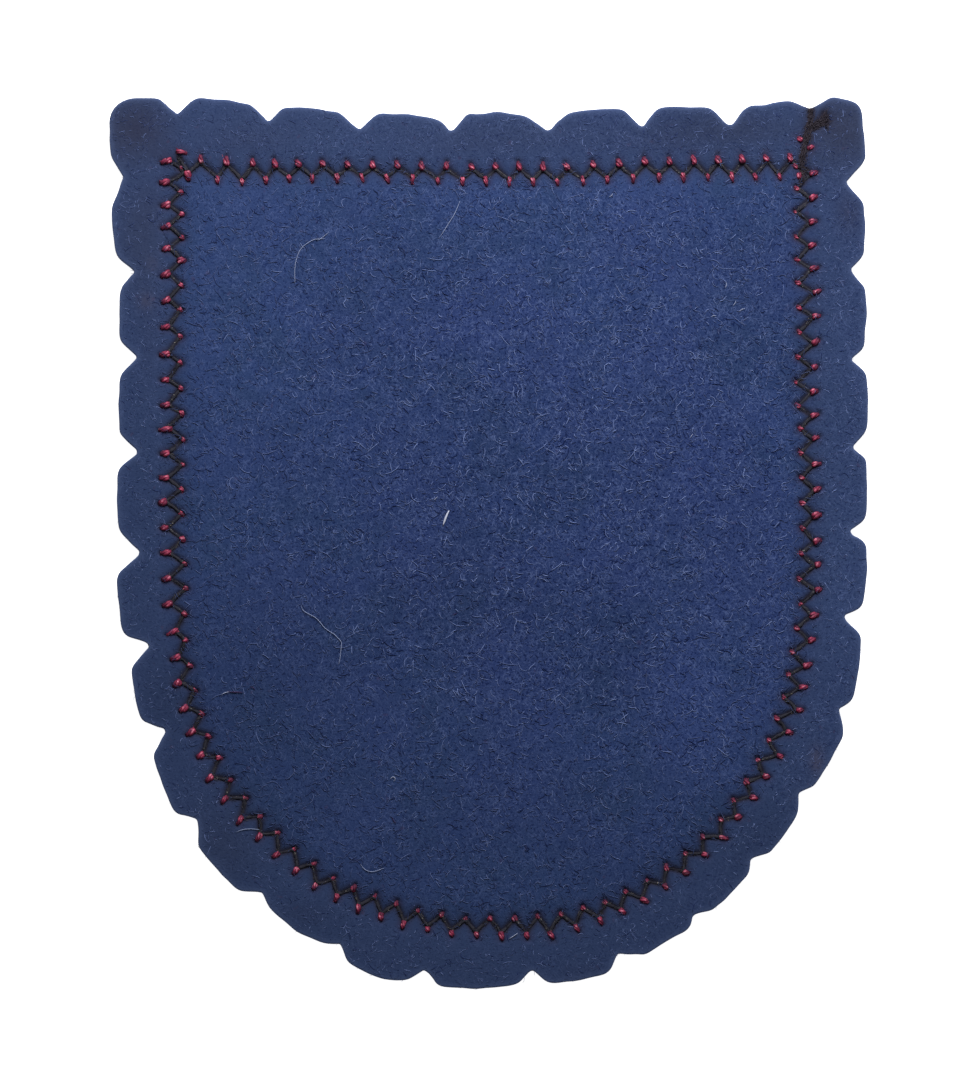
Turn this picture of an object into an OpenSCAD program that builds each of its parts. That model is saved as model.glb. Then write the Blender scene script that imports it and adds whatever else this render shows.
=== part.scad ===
// Sew-on felt patch: a shield of wool felt with a hand-cut scalloped edge,
// laid flat with its seam side up. Millimetres, Z up. The origin is the
// middle of its bounding box, on the table, and +Y is the top of the shield.
// The edge is worked out tab by tab from the SCALLOPS table. The seam's
// channel is worked out from straight runs and arcs that meet in tangents.

/* [Felt] */
// Widest span of the scalloped edge, left to right
patch_w = 80; // [70:1:90]
// Tallest span of the scalloped edge, top to bottom
patch_h = 94; // [84:1:104]
// Thickness of the felt
felt_t = 1.5; // [1:0.1:3]

/* [Scallops] */
// Radius at the bottom of a notch
notch_r = 0.5; // [0.3:0.05:0.8]
// Radius at the two shoulders of a tab
shoulder_r = 1.25; // [0.5:0.05:2]
// Radius over the crown of a tab
crown_r = 4.5; // [2:0.5:8]
// Radius of the lobe at the top left corner
left_lobe_r = 3.3; // [2:0.1:4]
// Radius of the lobe at the top right corner
right_lobe_r = 1.3; // [0.8:0.1:2]
// Turn of a rounded corner that one flat of the edge covers, in degrees
edge_step = 15; // [8:1:30]

/* [Seam] */
// Seam's distance from the left edge of the bounding box
seam_from_left = 6.8; // [6:0.1:8.5]
// Seam's distance from the right edge of the bounding box
seam_from_right = 6.3; // [6:0.1:8.5]
// Seam's distance from the top of the bounding box
seam_from_top = 7.9; // [7:0.1:9]
// Seam's distance from the bottom of the bounding box
seam_from_bottom = 6.4; // [6:0.1:8.5]
// Part of the shield's height where the seam's sides run straight
seam_side_share = 0.48; // [0.46:0.01:0.49]
// Radius of the seam's round bottom corners, as a share of half its width
seam_corner_share = 0.915; // [0.88:0.005:0.93]
// Turn of the flatter arcs on both sides of a bottom corner, in degrees
seam_blend = 30; // [25:1:35]
// Width of the channel that the stitches pull into the felt, at its mouth
channel_mouth = 3.6; // [3:0.1:4.5]
// Width of the channel's floor
channel_floor = 1.8; // [1:0.1:2.4]
// Depth of the channel in each face
channel_d = 0.25; // [0.1:0.05:0.35]

/* [Hidden] */
$fn = 96;
FELT_BLUE = [0.19, 0.24, 0.41];
// How far a cutting shape stands clear of the face that it cuts
CLEAR = 0.5;

// One row for each tab, clockwise from the top left corner. A tab begins at a
// notch and ends at the notch of the next row. Its form is measured from the
// chord between the two: IN_* along the chord from the nearer notch, OUT_*
// outwards from it. CROWN_AT is the crown's place along the chord, 0 to 1.
NOTCH_X = 0;
NOTCH_Y = 1;
IN_A = 2;
OUT_A = 3;
CROWN_AT = 4;
OUT_CROWN = 5;
IN_B = 6;
OUT_B = 7;
SCALLOPS = [
    // top edge, left to right
    [-32.7,  45.0,  1.7,  2.0, 0.50, 2.1,  2.0, 1.8],
    [-23.1,  44.2,  1.5,  1.8, 0.45, 2.0,  2.3, 1.7],
    [-13.5,  43.4,  1.8,  1.9, 0.50, 1.9,  1.3, 1.5],
    [ -3.9,  43.1,  1.7,  2.0, 0.50, 2.2,  2.1, 1.6],
    [  6.3,  43.3,  2.1,  1.9, 0.50, 2.2,  2.1, 2.2],
    [ 16.2,  43.6,  1.7,  2.3, 0.50, 2.2,  2.2, 2.2],
    [ 25.5,  43.7,  2.1,  1.9, 0.55, 1.5,  1.6, 1.4],
    // top right lobe
    [ 33.8,  45.6, -0.3,  2.7, 0.20, 5.1,  1.3, 3.1],
    // right side, downwards
    [ 37.4,  38.0,  2.3,  1.9, 0.50, 1.9,  1.5, 1.7],
    [ 37.9,  28.8,  2.0,  1.7, 0.50, 1.8,  1.3, 1.6],
    [ 37.9,  19.3,  1.5,  1.8, 0.50, 1.9,  1.8, 1.8],
    [ 38.0,  10.0,  1.1,  1.8, 0.50, 2.0,  1.6, 2.1],
    [ 37.5,   1.0,  0.8,  2.3, 0.50, 2.5,  1.1, 2.3],
    [ 36.9,  -7.8,  1.9,  2.2, 0.50, 2.1,  1.0, 1.5],
    [ 36.8, -17.5,  2.3,  1.7, 0.55, 1.6,  1.2, 1.1],
    // round bottom, right to left
    [ 32.5, -26.4,  1.8,  1.3, 0.45, 1.4,  1.8, 1.4],
    [ 27.5, -33.3,  1.3,  1.0, 0.50, 1.2,  2.0, 1.2],
    [ 21.4, -39.3,  0.8,  1.2, 0.45, 1.2,  2.6, 1.5],
    [ 13.5, -43.4,  1.1,  1.8, 0.45, 2.1,  1.3, 1.8],
    [  4.6, -44.9,  1.5,  1.7, 0.50, 2.2,  1.5, 1.9],
    [ -6.7, -44.9,  1.4,  1.8, 0.50, 2.4,  1.2, 1.7],
    [-15.4, -42.3,  1.4,  0.9, 0.45, 1.6,  1.4, 1.0],
    [-23.7, -36.8,  1.7,  1.9, 0.50, 2.0,  2.3, 2.0],
    [-30.4, -29.1,  1.3,  2.2, 0.40, 2.4,  2.2, 2.4],
    // left side, upwards
    [-33.6, -19.7,  1.3,  2.6, 0.45, 2.8,  2.1, 2.7],
    [-35.2, -10.7,  1.3,  3.0, 0.45, 3.0,  2.1, 3.0],
    [-36.3,  -1.1,  2.3,  2.4, 0.50, 2.5,  1.7, 2.4],
    [-36.5,   9.5,  1.9,  2.1, 0.50, 2.2,  1.8, 2.0],
    [-36.6,  19.5,  1.9,  2.0, 0.50, 1.9,  1.9, 1.8],
    [-36.9,  28.6,  1.9,  1.9, 0.45, 1.9,  3.1, 1.7],
    // top left lobe
    [-38.2,  38.6,  0.8,  2.5, 0.61, 6.7, -0.2, 2.6],
];
TABS = len(SCALLOPS);
// Rows whose crown is the rounded corner of the shield
RIGHT_LOBE = 7;
LEFT_LOBE = TABS - 1;

function notch(i) = [SCALLOPS[i % TABS][NOTCH_X], SCALLOPS[i % TABS][NOTCH_Y]];
function unit(v) = v / norm(v);
function left_of(v) = [-v.y, v.x];

// A place given along a tab's chord and outwards from it
function on_tab(i, along, out) =
    let (run = unit(notch(i + 1) - notch(i)))
    notch(i) + along * run + out * left_of(run);

function crown_radius(i) =
    i == LEFT_LOBE ? left_lobe_r : i == RIGHT_LOBE ? right_lobe_r : crown_r;

// The corners of one tab before rounding, each with its radius
function tab_corners(i) =
    let (row = SCALLOPS[i])
    let (chord = norm(notch(i + 1) - notch(i)))
    [
        [notch(i), notch_r],
        [on_tab(i, row[IN_A], row[OUT_A]), shoulder_r],
        [on_tab(i, row[CROWN_AT] * chord, row[OUT_CROWN]), crown_radius(i)],
        [on_tab(i, chord - row[IN_B], row[OUT_B]), shoulder_r],
    ];

// The arc that rounds corner p between its neighbours a and b. It uses no
// more than half of the shorter side, so neighbouring arcs never cross.
function rounded(a, p, b, r) =
    let (to_a = unit(a - p))
    let (to_b = unit(b - p))
    let (half = acos(max(-1, min(1, to_a * to_b))) / 2)
    let (turn = 180 - 2 * half)
    turn < edge_step / 3 ? [p] :
    let (cut = min(r / tan(half), 0.49 * min(norm(a - p), norm(b - p))))
    let (real_r = cut * tan(half))
    let (centre = p + unit(to_a + to_b) * real_r / sin(half))
    let (start = p + to_a * cut - centre)
    let (finish = p + to_b * cut - centre)
    let (side = sign(start.x * finish.y - start.y * finish.x))
    let (steps = max(1, ceil(turn / edge_step)))
    [for (k = [0 : steps])
        let (a_k = side * turn * k / steps)
        centre + [start.x * cos(a_k) - start.y * sin(a_k),
                  start.x * sin(a_k) + start.y * cos(a_k)]];

CORNERS = [for (i = [0 : TABS - 1]) each tab_corners(i)];
CORNER_COUNT = len(CORNERS);
CUT_LINE = [for (i = [0 : CORNER_COUNT - 1])
    each rounded(CORNERS[(i + CORNER_COUNT - 1) % CORNER_COUNT][0],
                 CORNERS[i][0],
                 CORNERS[(i + 1) % CORNER_COUNT][0],
                 CORNERS[i][1])];

// The cut line is centred and brought to the driving width and height
CUT_XS = [for (p = CUT_LINE) p.x];
CUT_YS = [for (p = CUT_LINE) p.y];
CUT_MID = [max(CUT_XS) + min(CUT_XS), max(CUT_YS) + min(CUT_YS)] / 2;
STRETCH = [patch_w / (max(CUT_XS) - min(CUT_XS)), patch_h / (max(CUT_YS) - min(CUT_YS))];
OUTLINE = [for (p = CUT_LINE) [(p.x - CUT_MID.x) * STRETCH.x, (p.y - CUT_MID.y) * STRETCH.y]];

// The seam: straight top and sides, and a round bottom of five arcs
SEAM_LEFT = seam_from_left - patch_w / 2;
SEAM_RIGHT = patch_w / 2 - seam_from_right;
SEAM_TOP = patch_h / 2 - seam_from_top;
SEAM_BOTTOM = seam_from_bottom - patch_h / 2;
SEAM_MID = (SEAM_LEFT + SEAM_RIGHT) / 2;
SEAM_HALF_W = (SEAM_RIGHT - SEAM_LEFT) / 2;
SEAM_TURN_Y = SEAM_TOP - seam_side_share * patch_h;
SEAM_DROP = SEAM_TURN_Y - SEAM_BOTTOM;
CORNER_R = seam_corner_share * SEAM_HALF_W;
// The side and bottom arcs take up what the corner arc leaves of the half
// width and of the drop, so that all the arcs meet in tangents
LEFT_OVER = CORNER_R * (cos(seam_blend) - sin(seam_blend));
RISE = 1 - cos(seam_blend);
REACH = sin(seam_blend);
SQUARES = REACH * REACH - RISE * RISE;
SIDE_R = (REACH * (SEAM_DROP - LEFT_OVER) - RISE * (SEAM_HALF_W - LEFT_OVER)) / SQUARES;
BOTTOM_R = (REACH * (SEAM_HALF_W - LEFT_OVER) - RISE * (SEAM_DROP - LEFT_OVER)) / SQUARES;
SIDE_X = SIDE_R - SEAM_HALF_W;
CORNER_X = SIDE_X - (SIDE_R - CORNER_R) * cos(seam_blend);
CORNER_Y = SEAM_TURN_Y - (SIDE_R - CORNER_R) * sin(seam_blend);

// Cross-section of the channel, with its floor below the face
module channel_section() {
    polygon([
        [-channel_floor / 2, -channel_d],
        [channel_floor / 2, -channel_d],
        [channel_mouth / 2, 0],
        [channel_mouth / 2, CLEAR],
        [-channel_mouth / 2, CLEAR],
        [-channel_mouth / 2, 0],
    ]);
}

// A straight stretch of the channel between two places
module channel_run(from, to) {
    way = to - from;
    translate([from.x, from.y, 0])
        rotate([0, 0, atan2(way.y, way.x)])
            rotate([90, 0, 90])
                linear_extrude(norm(way)) channel_section();
}

// A round stretch of the channel, from one heading of its radius to another
module channel_arc(centre, r, from_angle, to_angle) {
    translate([centre.x, centre.y, 0])
        rotate([0, 0, from_angle])
            rotate_extrude(angle = to_angle - from_angle)
                translate([r, 0]) channel_section();
}

// The round end where two straight stretches meet in a corner
module channel_corner(place) {
    translate([place.x, place.y, -channel_d])
        cylinder(h = channel_d, d1 = channel_floor, d2 = channel_mouth);
    translate([place.x, place.y, 0])
        cylinder(h = CLEAR, d = channel_mouth);
}

// The whole seam's channel, cut from a face that lies at z = 0
module seam_channel() {
    top_left = [SEAM_LEFT, SEAM_TOP];
    top_right = [SEAM_RIGHT, SEAM_TOP];
    channel_run(top_left, top_right);
    for (side = [-1, 1]) {
        x = SEAM_MID + side * SEAM_HALF_W;
        channel_run([x, SEAM_TOP], [x, SEAM_TURN_Y]);
        channel_corner([x, SEAM_TOP]);
    }
    channel_arc([SEAM_MID + SIDE_X, SEAM_TURN_Y], SIDE_R, 180, 180 + seam_blend);
    channel_arc([SEAM_MID - SIDE_X, SEAM_TURN_Y], SIDE_R, -seam_blend, 0);
    channel_arc([SEAM_MID + CORNER_X, CORNER_Y], CORNER_R, 180 + seam_blend, 270 - seam_blend);
    channel_arc([SEAM_MID - CORNER_X, CORNER_Y], CORNER_R, seam_blend - 90, -seam_blend);
    channel_arc([SEAM_MID, SEAM_BOTTOM + BOTTOM_R], BOTTOM_R, 270 - seam_blend, 270 + seam_blend);
}

// One cut piece of felt, drawn in along the seam on both faces
module felt_shield() {
    color(FELT_BLUE)
        difference() {
            linear_extrude(felt_t) polygon(OUTLINE);
            translate([0, 0, felt_t]) seam_channel();
            mirror([0, 0, 1]) seam_channel();
        }
}

felt_shield();
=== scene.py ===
"""Sew-on felt patch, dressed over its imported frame.

The frame gives the shield's cut line. This script lays on it a felt sheet with
a soft cut edge and a stitched-in seam, the two sewing threads, the starting
thread with its loose tail, and the nap with its stray fibres. Units are metres.
"""

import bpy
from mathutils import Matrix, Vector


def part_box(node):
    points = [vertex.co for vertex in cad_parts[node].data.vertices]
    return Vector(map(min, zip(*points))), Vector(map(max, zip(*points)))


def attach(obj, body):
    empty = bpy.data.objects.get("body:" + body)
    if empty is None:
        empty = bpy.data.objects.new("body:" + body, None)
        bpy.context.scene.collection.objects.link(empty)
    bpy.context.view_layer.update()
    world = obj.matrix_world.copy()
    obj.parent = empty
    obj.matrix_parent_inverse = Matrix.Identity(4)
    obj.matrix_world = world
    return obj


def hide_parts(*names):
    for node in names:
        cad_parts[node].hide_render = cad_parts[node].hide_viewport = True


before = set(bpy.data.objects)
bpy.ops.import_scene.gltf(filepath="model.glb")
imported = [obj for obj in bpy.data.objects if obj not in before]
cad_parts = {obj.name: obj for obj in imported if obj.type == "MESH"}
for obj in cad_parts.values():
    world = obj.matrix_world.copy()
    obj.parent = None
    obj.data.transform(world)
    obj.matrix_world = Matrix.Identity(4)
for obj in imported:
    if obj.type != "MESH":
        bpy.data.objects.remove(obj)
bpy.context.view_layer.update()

import logging
import math
from dataclasses import dataclass, field
from enum import Enum
from typing import Any, Callable, Sequence

import bpy
import numpy as np
from mathutils import Vector
from mathutils.geometry import delaunay_2d_cdt
from mathutils.kdtree import KDTree

# Short names for kinds of value that recur
Array = np.ndarray
Chance = np.random.Generator
Material = bpy.types.Material
Piece = bpy.types.Object

LOG = logging.getLogger("felt_patch")
MM = 0.001
BODY = "root"
FELT_NODE = "felt_shield"

# The photograph's frame in pixels, and where the patch's own origin lies in it
PHOTO_W = 978
PHOTO_H = 1080
ORIGIN_PX = (488.5, 542.0)
PIXEL = 0.1055 * MM

FULL_TURN = 2 * math.pi
UP = (0.0, 0.0, 1.0)

# Shader sockets by number, on nodes with several of one name
OBJECT_PLACE = 3
ATTRIBUTE_VALUE = 2
MIX_AMOUNT = 0
MIX_FIRST = 6
MIX_SECOND = 7
MIX_COLOUR = 2


def place(px: float, py: float) -> Array:
    """Gives the patch's own X and Y of a pixel of the photograph.

    Args:
        px: Pixels from the photograph's left edge.
        py: Pixels from its top edge.

    Returns:
        The place in metres, in the row frame.
    """
    return np.array([(px - ORIGIN_PX[0]) * PIXEL, (ORIGIN_PX[1] - py) * PIXEL])


def linear(red: float, green: float, blue: float) -> tuple[float, float, float, float]:
    """Turns a colour as seen on a screen into linear light.

    Args:
        red: The red channel, from 0 to 255.
        green: The green channel.
        blue: The blue channel.

    Returns:
        The colour, with an alpha of 1.
    """
    def one(channel: float) -> float:
        """Turns one channel, by the usual screen curve."""
        part = channel / 255
        return part / 12.92 if part <= 0.04045 else ((part + 0.055) / 1.055) ** 2.4
    return (one(red), one(green), one(blue), 1.0)


def unit_rows(vectors: Array) -> Array:
    """Scales each row of an array to length one."""
    return vectors / np.maximum(np.linalg.norm(vectors, axis=-1, keepdims=True), 1e-12)


def rightwards(way: Array) -> Array:
    """Turns directions in the plane a quarter turn to the right."""
    return np.stack([way[:, 1], -way[:, 0]], 1)


def evened_loop(values: Array, times: int) -> Array:
    """Smooths values that lie round a closed loop.

    Args:
        values: A value or a place for each point of the loop.
        times: How often each is averaged with its neighbours.

    Returns:
        The smoothed values.
    """
    for _ in range(times):
        values = (np.roll(values, 1, axis=0) + 2 * values + np.roll(values, -1, axis=0)) / 4
    return values


def tube_faces(rings: int, sides: int) -> list[tuple]:
    """Gives the faces that join rings of vertices into a tube.

    Args:
        rings: How many rings follow one another.
        sides: How many vertices each of them has.

    Returns:
        The faces, as vertex numbers.
    """
    faces = []
    for k in range(rings - 1):
        for i in range(sides):
            j = (i + 1) % sides
            faces.append((k * sides + i, k * sides + j, (k + 1) * sides + j, (k + 1) * sides + i))
    return faces


class Nearest:
    """A line or some spots in the plane, and how far other points lie from them."""

    def __init__(self, corners: Array, spacing: float | None = 0.04 * MM, closed: bool = False) -> None:
        """Lays samples along the line.

        Args:
            corners: The line's corners in order, or loose spots.
            spacing: The samples' distance from each other, or None for loose spots.
            closed: True where the last corner joins the first.
        """
        self.dense = corners
        if spacing is not None:
            ends = np.vstack([corners, corners[:1]]) if closed else corners
            lengths = np.linalg.norm(np.diff(ends, axis=0), axis=1)
            counts = np.maximum(1, np.ceil(lengths / spacing).astype(int))
            piece = np.repeat(np.arange(len(counts)), counts)
            part = (np.arange(counts.sum()) - np.repeat(np.cumsum(counts) - counts, counts)) / counts[piece]
            self.dense = ends[:-1][piece] + np.diff(ends, axis=0)[piece] * part[:, None]
            if closed:
                way = unit_rows(np.roll(self.dense, -1, axis=0) - np.roll(self.dense, 1, axis=0))
            else:
                self.dense = np.vstack([self.dense, corners[-1:]])
                way = unit_rows(np.gradient(self.dense, axis=0))
            self.right = rightwards(way)
        self.tree = KDTree(len(self.dense))
        for number, (x, y) in enumerate(self.dense.tolist()):
            self.tree.insert((x, y, 0.0), number)
        self.tree.balance()

    def gaps(self, points: Array) -> Array:
        """Gives each point's distance from the nearest sample."""
        return np.array([self.tree.find((x, y, 0.0))[2] for x, y in points.tolist()])

    def right_of(self, points: Array) -> Array:
        """Gives each point's distance with a sign.

        Args:
            points: The points.

        Returns:
            The distances, above nought on the line's right-hand side.
        """
        found = [self.tree.find((x, y, 0.0)) for x, y in points.tolist()]
        number = np.array([hit[1] for hit in found])
        gaps = np.array([hit[2] for hit in found])
        side = ((points - self.dense[number]) * self.right[number]).sum(1)
        return np.where(side < 0, -gaps, gaps)


class Waves:
    """A few waves that cross one another over the plane."""

    COUNT = 6

    def __init__(self, chance: Chance, length: float) -> None:
        """Draws the waves.

        Args:
            chance: Where their directions come from.
            length: Their usual length.
        """
        self.way = chance.normal(size=(self.COUNT, 2)) * 2 * math.pi / length
        self.start = chance.uniform(0, FULL_TURN, self.COUNT)

    def total(self, points: Array) -> Array:
        """Gives the waves' sum at each point."""
        return np.sin(points @ self.way.T + self.start).sum(1)


def bell(gaps: Array, width: float) -> Array:
    """Gives 1 at a gap of nought and falls off smoothly over a width."""
    return np.exp(-(gaps / width) ** 2)


@dataclass(frozen=True)
class Pattern:
    """A noise pattern, and the values between which it steps from 0 to 1."""

    scale: float
    detail: float
    rough: float
    low: float
    high: float


class Wire:
    """One output of a shader node, usable in plain arithmetic."""

    def __init__(self, sheet: "ShaderSheet", socket: bpy.types.NodeSocket) -> None:
        """Keeps the sheet that the node is on and the output itself."""
        self.sheet = sheet
        self.socket = socket

    def _math(self, operation: str, first: Any, second: Any) -> "Wire":
        """Adds one Math node on two values."""
        return self.sheet.node("ShaderNodeMath", {"operation": operation}, {0: first, 1: second})

    def __add__(self, other: Any) -> "Wire":
        """Adds a value."""
        return self._math("ADD", self, other)

    __radd__ = __add__

    def __sub__(self, other: Any) -> "Wire":
        """Takes a value away."""
        return self._math("SUBTRACT", self, other)

    def __rsub__(self, other: Any) -> "Wire":
        """Is taken away from a value."""
        return self._math("SUBTRACT", other, self)

    def __mul__(self, other: Any) -> "Wire":
        """Multiplies by a value."""
        return self._math("MULTIPLY", self, other)

    def __or__(self, other: Any) -> "Wire":
        """Takes the larger of two values."""
        return self._math("MAXIMUM", self, other)


class ShaderSheet:
    """A new material and the few ways in which its nodes are added."""

    def __init__(self, name: str) -> None:
        """Makes the empty material.

        Args:
            name: The material's name.
        """
        self.material = bpy.data.materials.new(name)
        self.material.use_nodes = True
        self.tree = self.material.node_tree
        self.tree.nodes.clear()

    def node(self, kind: str, settings: dict[str, Any] | None = None,
             inputs: dict[Any, Any] | None = None, output: int = 0) -> Wire:
        """Adds a node.

        Args:
            kind: The node's type.
            settings: Its properties, which are set first.
            inputs: Values or wires, by the input's name or number.
            output: Which output is handed back.

        Returns:
            The chosen output.
        """
        made = self.tree.nodes.new(kind)
        for name, value in (settings or {}).items():
            setattr(made, name, value)
        for key, value in (inputs or {}).items():
            if isinstance(value, Wire):
                self.tree.links.new(value.socket, made.inputs[key])
            else:
                made.inputs[key].default_value = value
        return Wire(self, made.outputs[output])

    def scaled(self, vector: Wire, share: Any) -> Wire:
        """Multiplies a vector or a colour by a value."""
        return self.node("ShaderNodeVectorMath", {"operation": "SCALE"}, {0: vector, "Scale": share})

    def millimetres(self) -> Wire:
        """Gives the place on the piece, in millimetres."""
        return self.scaled(self.node("ShaderNodeTexCoord", output=OBJECT_PLACE), 1 / MM)

    def turned(self, where: Wire, degrees: float, stretch: Sequence[float], shift: float) -> Wire:
        """Shifts a place, turns it and only then stretches it, before a pattern reads it."""
        return self.node("ShaderNodeMapping", {"vector_type": "TEXTURE"}, {
            "Vector": where, "Rotation": (0, 0, math.radians(degrees)),
            "Scale": tuple(1 / share for share in stretch), "Location": (shift, -shift, shift)})

    def noise(self, where: Wire, scale: float, detail: float = 2.0, rough: float = 0.5,
              colour: bool = False) -> Wire:
        """Adds a noise pattern, as a value or as a colour."""
        return self.node("ShaderNodeTexNoise", {"noise_dimensions": "3D"}, {
            "Vector": where, "Scale": scale, "Detail": detail, "Roughness": rough}, int(colour))

    def step(self, value: Wire, low: float, high: float) -> Wire:
        """Gives 0 at one value and 1 at another, with a soft step between."""
        return self.node("ShaderNodeMapRange", {"interpolation_type": "SMOOTHSTEP"}, {
            "Value": value, "From Min": low, "From Max": high, "To Min": 0.0, "To Max": 1.0})

    def patches(self, where: Wire, pattern: Pattern) -> Wire:
        """Gives soft-edged patches, where a noise pattern is strong."""
        noise = self.noise(where, pattern.scale, pattern.detail, pattern.rough)
        return self.step(noise, pattern.low, pattern.high)

    def blend(self, amount: Any, first: Any, second: Any) -> Wire:
        """Mixes two colours."""
        return self.node("ShaderNodeMix", {"data_type": "RGBA"}, {
            MIX_AMOUNT: amount, MIX_FIRST: first, MIX_SECOND: second}, MIX_COLOUR)

    def layered(self, ground: Any, coats: Sequence[tuple[Any, Any]]) -> Wire:
        """Lays colours over a first one.

        Args:
            ground: The first colour.
            coats: How much of each colour is laid on, and the colour, in order.

        Returns:
            The mixed colour.
        """
        for amount, colour in coats:
            ground = self.blend(amount, ground, colour)
        return ground

    def attribute(self, name: str) -> Wire:
        """Reads one of the piece's own values."""
        return self.node("ShaderNodeAttribute", {"attribute_name": name}, output=ATTRIBUTE_VALUE)

    def bump(self, height: Wire, strength: float, distance: float) -> Wire:
        """Turns a height into a slightly uneven surface."""
        return self.node("ShaderNodeBump", {}, {
            "Strength": strength, "Distance": distance, "Height": height})

    def finished(self, inputs: dict[str, Any]) -> Material:
        """Ends the material in one Principled shader.

        Args:
            inputs: The shader's inputs by name.

        Returns:
            The material.
        """
        shader = self.node("ShaderNodeBsdfPrincipled", {}, inputs)
        end = self.tree.nodes.new("ShaderNodeOutputMaterial")
        self.tree.links.new(shader.socket, end.inputs["Surface"])
        return self.material


@dataclass(frozen=True)
class FeltFinish:
    """Navy wool felt: mottled dye, matted fibres, pits, and a smoother rim."""

    blue: tuple = linear(39, 56, 101)
    blue_violet: tuple = linear(42, 55, 104)
    green_navy: tuple = linear(35, 52, 90)
    dull: tuple = linear(43, 61, 94)
    rim_grey: tuple = linear(45, 59, 92)
    greyed: tuple = linear(44, 49, 69)
    fibre: tuple = linear(86, 102, 146)
    # The shade painted into the pits and gaps between fibres
    pit_shade: tuple = linear(5, 23, 67)
    lint: tuple = linear(62, 48, 74)
    darkened: tuple = linear(40, 40, 58)
    tan: tuple = linear(84, 72, 76)
    # Painted shade round the stitches, also the colour of the loose thread's dark smears
    shade: tuple = linear(35, 33, 46)
    blush: tuple = linear(58, 30, 58)
    # A painted highlight along the rounded cut edge
    edge_highlight: tuple = linear(82, 97, 135)

    # The matted fibres: three noises stretched along different directions, which drift
    drift_scale: float = 0.9
    drift_reach: float = 0.5
    streak_turns: tuple = (12.0, 71.0, 128.0)
    streak_stretch: tuple = (1.5, 8.0, 3.0)
    streak_shift: float = 7.3
    streak_rough: float = 0.65
    # The light streaks are paler fibres; the dark streaks paint the shade between them
    light_steps: tuple = (0.57, 0.66)
    dark_steps: tuple = (0.42, 0.32)
    light_share: float = 0.60
    shade_share: float = 0.50
    # How much of them shows between the tufts and how much more in them, light and dark
    light_tufts: tuple = (0.35, 0.65)
    dark_tufts: tuple = (0.45, 0.55)
    rim_calm: float = 0.32

    grain_scale: float = 5.0
    grain_rough: float = 0.65
    grain_light_steps: tuple = (0.55, 0.75)
    grain_dark_steps: tuple = (0.50, 0.28)
    grain_light: float = 0.30
    grain_dark: float = 0.35

    pits: Pattern = Pattern(4.0, 1.5, 0.6, 0.575, 0.625)
    tufts: Pattern = Pattern(0.55, 2.0, 0.6, 0.38, 0.62)
    cloud: Pattern = Pattern(0.28, 3.0, 0.6, 0.34, 0.66)
    bloom: Pattern = Pattern(0.09, 2.0, 0.5, 0.38, 0.62)
    bloom_turn: float = 40.0
    bloom_shift: float = 31.0
    specks: Pattern = Pattern(1.1, 1.0, 0.5, 0.70, 0.80)
    specks_turn: float = 25.0
    specks_shift: float = 57.0

    pit_share: float = 0.95
    bloom_share: float = 0.5
    dull_share: float = 0.8
    rim_share: float = 0.8
    lint_share: float = 0.35
    darkened_share: float = 0.6
    tan_share: float = 0.5
    # How strongly the painted highlight along the cut edge shows
    edge_highlight_share: float = 0.30
    # How much of the painted shade round the stitches shows where the grain is lowest, and how much more
    # where it is highest
    shade_grain: tuple = (0.62, 0.76)

    relief: float = 0.4
    relief_depth: float = 0.10 * MM
    relief_share: float = 0.5
    rough: float = 0.95
    shine: float = 0.12
    sheen: float = 0.06
    sheen_rough: float = 0.6
    sheen_tint: tuple = linear(120, 140, 200)

    def build(self) -> Material:
        """Builds the felt's material.

        Returns:
            The material, which reads the values that the sheet's mesh carries, such as rim,
            nap and the painted shade round the stitches.
        """
        sheet = ShaderSheet("navy_felt")
        here = sheet.millimetres()
        rim, nap = sheet.attribute("rim"), sheet.attribute("nap")
        drift = sheet.noise(here, self.drift_scale, 1.0, colour=True)
        bent = sheet.node("ShaderNodeVectorMath", {"operation": "MULTIPLY_ADD"}, {
            0: drift, 1: (self.drift_reach, self.drift_reach, 0.0), 2: here})
        calm = nap * (1.0 - rim * self.rim_calm)
        light, dark = self._streaks(sheet, here, bent, calm)
        grain = sheet.noise(bent, self.grain_scale, 2.0, self.grain_rough)
        pits = sheet.patches(bent, self.pits)
        # Painted shade: dark streaks, pits and the grain's low parts are mixed towards the pits' shade
        # colour; the light streaks are paler fibres
        colour_with_painted_light = sheet.layered(self._dye(sheet, here, rim, nap), (
            (dark * self.shade_share | pits * calm * self.pit_share, self.pit_shade),
            (sheet.step(grain, *self.grain_dark_steps) * calm * self.grain_dark, self.pit_shade),
            (light * self.light_share
             + sheet.step(grain, *self.grain_light_steps) * calm * self.grain_light, self.fibre)))
        colour_with_painted_light = sheet.scaled(colour_with_painted_light, sheet.attribute("tone") + 1.0)
        # A painted highlight along the cut edge, the crimson tinge by the loops, and painted shade round the
        # stitches that also carries the real dark smears of loose thread
        least, more = self.shade_grain
        colour_with_painted_light = sheet.layered(colour_with_painted_light, (
            (sheet.attribute("edge") * self.edge_highlight_share, self.edge_highlight),
            (sheet.attribute("blush"), self.blush),
            (sheet.attribute("shade_and_smear") * (least + grain * more), self.shade)))
        height = (grain * self.relief_share + light * self.relief_share
                  - dark * self.relief_share - pits * self.relief_share)
        return sheet.finished({
            "Base Color": colour_with_painted_light, "Roughness": self.rough, "Specular IOR Level": self.shine,
            "Sheen Weight": self.sheen, "Sheen Roughness": self.sheen_rough,
            "Sheen Tint": self.sheen_tint,
            "Normal": sheet.bump(height, self.relief, self.relief_depth)})

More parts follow.
